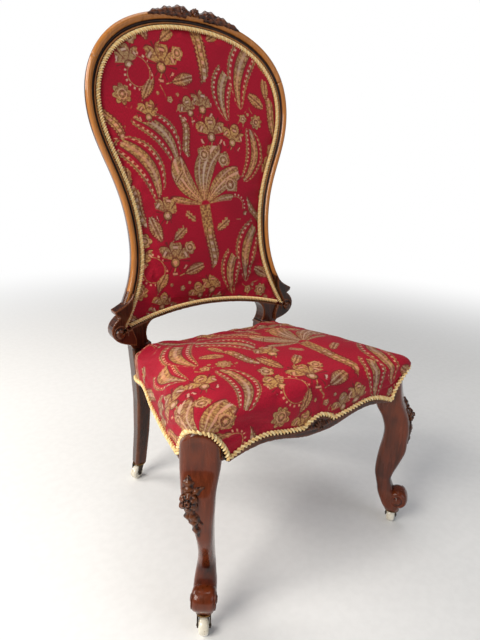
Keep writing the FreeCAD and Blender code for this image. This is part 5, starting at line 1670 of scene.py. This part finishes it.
@dataclass
class GimpRope:
    """The twisted gimp cord: two plies wound round each other along a route."""

    ply: float = 2.3
    offset: float = 2.25

    def wind(self, name: str, routes: Sequence[Route], pitch: float, finishes: Finishes, node: str) -> None:
        """Wind the rope along its routes, one turn in each pitch."""
        shell = bmesh.new()
        for route in routes:
            turns = round(route.length / pitch)
            steps = turns * 12
            for strand in (0, 1):
                def at(u: float, v: float) -> Vector:
                    point, off, across = route.frame(v)
                    a = v * turns * math.tau + strand * math.pi
                    middle = point + off * (self.offset * math.cos(a)) + across * (self.offset * math.sin(a))
                    b = u * math.tau
                    return middle + off * (self.ply * math.cos(b)) + across * (self.ply * math.sin(b))
                form(shell, 9, steps, at, closed=True, marks={
                    "ply": lambda u, v: float(strand), "twist": lambda u, v: u * math.tau * 3 + v * turns * 9})
        close_up(shell)
        piece = make_piece(name, shell)
        dress(piece, finishes.rope, "gimp", node)

    def build(self, finishes: Finishes) -> None:
        """Wind the cords of the back and of the seat."""
        around = [BACK.point(i / 30, 0, 0) for i in range(181)]
        lower = [Vector((x, BACK.depth(x, BACK.arch(x)), BACK.arch(x))) for x in
                 [188.0 - 376.0 * i / 60 for i in range(61)]]
        self.wind("back_gimp", [Route(run, [FORWARD] * len(run)) for run in (around, lower)], 9.5,
                  finishes, "back_gimp_cord")
        half = SEAT.gimp()[4:]
        points, outward = [], []
        for i, (p, z) in enumerate(half):
            a, b = half[max(i - 1, 0)][0], half[min(i + 1, len(half) - 1)][0]
            along = (b - a).normalized()
            out = Vector((-along.y, along.x, 0))
            out = out if out.dot(p) > 0 else -out
            points.append(Vector((p.x, p.y, z)) + out * 0.8)
            outward.append(out)
        run = points[:-1] + [mirrored(p) for p in reversed(points)]
        off = outward[:-1] + [mirrored(p) for p in reversed(outward)]
        self.wind("seat_gimp", [Route(run, off)], 14.0, finishes, "seat_gimp_cord")


@dataclass
class ClothRun:
    """How a cover settles over its padding: a short simulation with still edges."""

    pressure: float = 4.0
    frames: int = 20
    cap: float = 4.0

    def settle(self, piece: Piece, still: Sequence[int]) -> None:
        """Let a cover settle and keep every point near where it was.

        Args:
            piece: The cover, a closed mesh.
            still: The points that are sewn or tacked and don't move.
        """
        start = [v.co.copy() for v in piece.data.vertices]
        group = piece.vertex_groups.new(name="tacked")
        group.add(list(still), 1.0, "REPLACE")
        cloth = piece.modifiers.new("cloth", "CLOTH")
        cloth.settings.vertex_group_mass = "tacked"
        cloth.settings.use_pressure = True
        cloth.settings.uniform_pressure_force = self.pressure
        cloth.settings.effector_weights.gravity = 0.0
        cloth.settings.tension_stiffness = 18
        cloth.settings.compression_stiffness = 18
        cloth.settings.bending_stiffness = 0.6
        cloth.settings.shrink_min = -0.035
        cloth.collision_settings.use_collision = False
        scene = bpy.context.scene
        for frame in range(1, self.frames + 1):
            scene.frame_set(frame)
        baked(piece)
        for old, vert in zip(start, piece.data.vertices):
            move = vert.co - old
            if move.length > self.cap * MM:
                vert.co = old + move.normalized() * (self.cap * MM)
        scene.frame_set(1)


def finer(piece: Piece) -> None:
    """Divide a piece's faces once and round them."""
    level = piece.modifiers.new("fine", "SUBSURF")
    level.levels = level.render_levels = 1
    baked(piece)


@dataclass
class BackCushion:
    """The sprung pad inside the balloon back, with its cover front and rear."""

    rim: float = 4.5
    crown: float = 19.0
    ground: float = 8.5
    edge_out: float = 5.0
    rear_out: float = 6.7
    rear_depth: tuple[float, float] = (27.4, 28.6)
    start: tuple[float, float] = (168.0, -440.0)

    def pad(self, finishes: Finishes) -> None:
        """Build the pad and its front cover."""
        shell = bmesh.new()
        columns, rows = 72, 96

        def front(x: float, z: float, line: float) -> float:
            full = BACK.fullness(x, z, line)
            pucker = math.sin(z * 0.21 + 2.3 * math.sin(x * 0.03)) * math.sin(math.pi * min(full * 1.3, 1.0))
            return self.rim - self.crown * full + pucker * 0.25
        unfold = {"unfold": self.spread}
        form(shell, columns, rows, BACK.sheet(self.edge_out, front), marks=unfold)
        form(shell, columns, rows, BACK.sheet(self.edge_out - 0.6, lambda x, z, line: self.ground), marks=unfold)
        self.seal(shell)
        pad = make_piece("back_pad", shell)
        still = [v.index for v in pad.data.vertices if self.is_tacked(v.co / MM)]
        ClothRun().settle(pad, still)
        finer(pad)
        finishes.pattern.lay(pad, self.start)
        dress(pad, finishes.cover, "cover_fabric", "back_front_cover", "back_stuffing")

    @staticmethod
    def spread(point: Vector) -> Vector:
        """Give the place of a point on the flat cloth of the back."""
        return Vector((point.x, point.z, 0))

    @staticmethod
    def seal(shell: Mesh) -> None:
        """Join the front and rear grids of a pad along their open borders."""
        bmesh.ops.remove_doubles(shell, verts=shell.verts, dist=1e-5)
        rims = [e for e in shell.edges if e.is_boundary]
        bmesh.ops.bridge_loops(shell, edges=rims)
        bmesh.ops.triangulate(shell, faces=[f for f in shell.faces if len(f.verts) > 4])
        close_up(shell)

    def is_tacked(self, point: Vector) -> bool:
        """Say whether a point lies under the gimp or on the pad's rear."""
        x, y, z = point
        if y > BACK.depth(x, z) + self.rim - 0.8:
            return True
        return z < BACK.arch(max(min(x, 199.0), -199.0), -5.5)

    def rear(self, finishes: Finishes) -> None:
        """Build the plain cover of the back's rear side."""
        shell = bmesh.new()
        inner, outer = self.rear_depth
        for depth in (lambda x, z, line: inner, lambda x, z, line: outer + 3.2 * BACK.fullness(x, z, line)):
            form(shell, 60, 80, BACK.sheet(self.rear_out, depth), marks={"unfold": self.spread})
        self.seal(shell)
        cover = make_piece("rear_cover", shell)
        finishes.pattern.lay(cover, self.start)
        dress(cover, finishes.cover, "cover_fabric", "back_rear_cover")


@dataclass
class SeatCushion:
    """The stuffed seat with its rolled edge and the cloth drawn down to the gimp."""

    columns: int = 200
    rows: int = 64
    middle: float = -34.5
    half_depth: float = 180.5
    half_width: float = 236.0
    start: tuple[float, float] = (96.0, 268.0)

    def profile(self, v: float, y: float, gimp: float) -> tuple[float, float]:
        """Give the cover's inset and height at a share of the way from the gimp to the middle.

        Args:
            v: Share of the way.
            y: Plan Y of the place on the outline.
            gimp: Height of the gimp line there.

        Returns:
            Inset from the outline, and height.
        """
        edge = SEAT.edge_z(y)
        low, roll, top = gimp - 3.5, edge + 1.8, SEAT.top_z(self.middle)
        knots = [(0.0, 0.6, low), (0.10, -0.6, low + (edge - low) * 0.30), (0.20, -1.4, low + (edge - low) * 0.62),
                 (0.27, -0.6, edge - 6.5), (0.33, 1.8, edge - 1.6), (0.38, 6.0, roll)]
        knots += [(share, inset, roll + (top - roll) * rise) for share, inset, rise in (
            (0.46, 18, 0.40), (0.60, 48, 0.74), (0.76, 92, 0.92), (1.0, self.half_depth, 1.0))]
        for (a, inset_a, z_a), (b, inset_b, z_b) in zip(knots, knots[1:]):
            if v <= b:
                t = (v - a) / (b - a)
                return inset_a + (inset_b - inset_a) * t, z_a + (z_b - z_a) * t
        return self.half_depth, top

    def outline(self) -> list[tuple[Vector, float]]:
        """Give the whole outline with the gimp's height, from the rear's middle round and back."""
        half = SEAT.gimp()
        rear = []
        for i in range(13):
            x = 0.1 + (SEAT.rear_x - 6.0) * i / 13
            rear.append((Vector((x, SEAT.rear + 1.5 * (1 - (x / 184) ** 2), 0)), 318.0))
        right = rear + [(p, z if p.y < 138 else 312.0) for p, z in half]
        return right[:-1] + [(mirrored(p), z) for p, z in reversed(right)]

    def build(self, finishes: Finishes) -> None:
        """Build the seat's cushion."""
        shell = bmesh.new()
        ring = self.outline()
        marks = [0.0]
        for (a, _), (b, _) in zip(ring, ring[1:] + ring[:1]):
            marks.append(marks[-1] + (b - a).length)
        count = self.columns
        spots = []
        for k in range(count):
            goal = marks[-1] * k / count
            i = max(j for j in range(len(ring)) if marks[j] <= goal)
            t = (goal - marks[i]) / max(marks[i + 1] - marks[i], 1e-9)
            (a, za), (b, zb) = ring[i], ring[(i + 1) % len(ring)]
            spots.append((a.lerp(b, t), za + (zb - za) * t))

        def at(u: float, v: float) -> Vector:
            p, gimp = spots[round(u * count) % count]
            inset, z = self.profile(min(v, 0.999), p.y, gimp)
            share = min(inset / self.half_depth, 0.9995)
            x = p.x * (1 - share)
            y = self.middle + (p.y - self.middle) * (1 - share)
            if inset > 10:
                z += (SEAT.top_z(y) - SEAT.top_z(self.middle)) * ease((inset - 10) / 60)
            return Vector((x, y, z))

        def cloth(point: Vector) -> Vector:
            away_x, away_y = point.x / self.half_width, (point.y - self.middle) / self.half_depth
            out = Vector((away_x ** 9, away_y ** 9, 0))
            drop = max(SEAT.edge_z(point.y) - 2.0 - point.z, 0.0)
            return Vector((point.x, point.y, 0)) + (out.normalized() * drop if drop > 0 else Vector())
        form(shell, count, self.rows, at, closed=True, marks={"unfold": cloth})
        close_up(shell)
        pad = make_piece("seat_pad", shell)
        still = [v.index for v in pad.data.vertices
                 if v.co.z / MM < 322 or (v.co.y / MM > 100 and v.co.z / MM < 352)]
        ClothRun(pressure=3.0).settle(pad, still)
        finer(pad)
        finishes.pattern.lay(pad, self.start)
        dress(pad, finishes.cover, "cover_fabric", "seat_cover", "seat_stuffing")


@dataclass
class Castors:
    """The four castors: glazed barrel wheels in the frame's own forks."""

    radius: float = 15.0
    width: float = 16.5
    places: tuple[tuple[str, float, float, float, float], ...] = (
        ("front_left", -232.49, -231.89, 0.8387, -0.5446), ("front_right", 235.34, -217.91, -0.5592, 0.8290),
        ("rear_left", -167.99, 200.62, 0.4384, -0.8988), ("rear_right", 164.0, 196.34, 0.8660, 0.5),
    )

    def build(self, finishes: Finishes) -> None:
        """Build the wheels."""
        half, r = self.width / 2, self.radius
        side = [(2.2, -half + 1.2), (5.0, -half + 1.0), (6.2, -half + 0.2), (9.5, -half), (12.4, -half + 0.8),
                (14.0, -half + 2.4), (14.8, -half + 4.6)]
        profile = [(2.2, half - 1.2)] + side + [(r, 0.0)] + [(a, -b) for a, b in reversed(side)]
        for name, x, y, ax, ay in self.places:
            shell = bmesh.new()
            lathe(shell, profile, Vector((x, y, r)), Vector((ax, ay, 0)))
            close_up(shell)
            wheel = make_piece(f"{name}_china", shell)
            dress(wheel, finishes.ceramic, "castor_ceramic", f"{name}_castor_wheel", body=f"{name}_wheel")


class FramePieces:
    """The frame's own pieces that keep their shapes: each gets its finish."""

    def build(self, finishes: Finishes) -> None:
        """Put the finishes on."""
        table = {
            "back_canvas": finishes.hessian, "spring_hessian": finishes.hessian, "back_webbing": finishes.webbing,
            "seat_webbing": finishes.webbing, "seat_springs": finishes.steel, "seat_dust_cover": finishes.dust,
        }
        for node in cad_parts:
            if "castor" in node and not node.endswith("wheel"):
                table[node] = finishes.brass if node.endswith(("plate", "screws")) else finishes.iron
            elif node.endswith("block") or node == "crest_dowels":
                table[node] = finishes.beech
        for node, material in table.items():
            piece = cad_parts[node]
            piece.data.materials.clear()
            piece.data.materials.append(material)


class Rails:
    """The seat's show-wood rails, rounded as worked timber."""

    NODES = ("front_seat_rail", "right_seat_rail", "left_seat_rail", "rear_seat_rail")

    def build(self, finishes: Finishes) -> None:
        """Build the rails."""
        for node in self.NODES:
            rail = worked_copy(f"{node}_worked", node, 1.6, 5)
            mark_wear_and_shade(rail, 0.10, 3)
            dress(rail, finishes.rail, "frame_wood", node)


@dataclass
class Studio:
    """The camera, the lights and the floor."""

    place: tuple[float, float, float] = (-0.52693, -0.73808, 0.72408)
    pitch: float = 18.27
    roll: float = 1.78
    azimuth: float = -34.37
    lens: float = 27.26

    def camera(self) -> None:
        """Set the camera where the photograph was taken."""
        p, r, a = (math.radians(v) for v in (self.pitch, self.roll, self.azimuth))
        ahead = Vector((-math.sin(a) * math.cos(p), math.cos(a) * math.cos(p), -math.sin(p)))
        right = Vector((math.cos(a), math.sin(a), 0))
        up = right.cross(ahead)
        turned = right * math.cos(r) + up * math.sin(r)
        over = up * math.cos(r) - right * math.sin(r)
        data = bpy.data.cameras.new("camera")
        data.lens, data.sensor_width = self.lens, 36.0
        data.clip_start = 0.02
        camera = bpy.data.objects.new("camera", data)
        grid = Matrix((turned, over, -ahead)).transposed().to_4x4()
        camera.matrix_world = Matrix.Translation(self.place) @ grid
        bpy.context.scene.collection.objects.link(camera)
        bpy.context.scene.camera = camera

    @staticmethod
    def lamp(name: str, place: tuple[float, float, float], goal: tuple[float, float, float], size: float,
             power: float, colour: Colour) -> None:
        """Hang a square soft light.

        Args:
            name: Its name.
            place: Where it hangs.
            goal: What it faces.
            size: The length of its side.
            power: Its power in watts.
            colour: Its colour.
        """
        data = bpy.data.lights.new(name, "AREA")
        data.shape, data.size, data.energy, data.color = "SQUARE", size, power, colour
        lamp = bpy.data.objects.new(name, data)
        lamp.location = place
        lamp.rotation_euler = (Vector(place) - Vector(goal)).to_track_quat("Z", "Y").to_euler()
        bpy.context.scene.collection.objects.link(lamp)

    def world(self) -> None:
        """Light the surroundings evenly and show them white."""
        world = bpy.data.worlds.new("room")
        world.use_nodes = True
        tree = world.node_tree
        path = tree.nodes.new("ShaderNodeLightPath")
        dim, white = tree.nodes["Background"], tree.nodes.new("ShaderNodeBackground")
        dim.inputs["Color"].default_value = (*paint(196, 204, 214), 1)
        dim.inputs["Strength"].default_value = 0.22
        white.inputs["Color"].default_value = (1, 1, 1, 1)
        white.inputs["Strength"].default_value = 1.0
        mix = tree.nodes.new("ShaderNodeMixShader")
        tree.links.new(path.outputs["Is Camera Ray"], mix.inputs[0])
        tree.links.new(dim.outputs[0], mix.inputs[1])
        tree.links.new(white.outputs[0], mix.inputs[2])
        tree.links.new(mix.outputs[0], tree.nodes["World Output"].inputs["Surface"])
        bpy.context.scene.world = world

    def floor(self) -> None:
        """Lay the pale floor."""
        shell = bmesh.new()
        bmesh.ops.create_circle(shell, cap_ends=True, radius=9.0, segments=64)
        floor = make_piece("floor", shell)
        material = PlainFinish("floor", paint(238, 238, 237), paint(235, 235, 234), (0.85, 0.9),
                               relief=0.0).make()
        tree = material.node_tree
        place = tree.nodes.new("ShaderNodeTexCoord").outputs["Object"]
        length = tree.nodes.new("ShaderNodeVectorMath")
        length.operation = "LENGTH"
        tree.links.new(place, length.inputs[0])
        far = Wire(tree, length.outputs["Value"]).fades(1.0, 2.6)
        glow, mix = tree.nodes.new("ShaderNodeEmission"), tree.nodes.new("ShaderNodeMixShader")
        tree.links.new(far.socket, mix.inputs[0])
        tree.links.new(tree.nodes["Principled BSDF"].outputs[0], mix.inputs[1])
        tree.links.new(glow.outputs[0], mix.inputs[2])
        tree.links.new(mix.outputs[0], tree.nodes["Material Output"].inputs["Surface"])
        floor.data.materials.append(material)

    def build(self) -> None:
        """Set everything up."""
        bpy.context.scene.view_settings.view_transform = "Standard"
        self.camera()
        self.world()
        self.floor()
        self.lamp("window", (-2.3, -0.4, 1.9), (0, 0, 0.45), 1.5, 74, paint(255, 250, 242))
        self.lamp("side window", (-1.6, 1.5, 1.7), (0, 0.1, 0.6), 1.0, 30, paint(255, 250, 244))
        self.lamp("fill", (0.9, -2.4, 1.5), (0, 0, 0.4), 1.6, 13, paint(240, 244, 255))
        self.lamp("top", (0.2, 0.2, 2.6), (0, 0, 0.4), 1.4, 18, paint(255, 252, 248))


def main() -> None:
    """Build the chair on its frame, piece by piece."""
    logging.basicConfig(level=logging.INFO, format="%(name)s: %(message)s")
    finishes = Finishes()
    legs = CabrioleLegs()
    ornament = Ornament()
    MouldedFrame().build(finishes)
    legs.build(finishes)
    Rails().build(finishes)
    ornament.crest(finishes)
    ornament.knees(legs, finishes)
    ornament.cartouche(finishes)
    GimpRope().build(finishes)
    cushion = BackCushion()
    cushion.pad(finishes)
    cushion.rear(finishes)
    SeatCushion().build(finishes)
    Castors().build(finishes)
    FramePieces().build(finishes)
    Studio().build()
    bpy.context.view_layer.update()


if __name__ == "__main__":
    main()
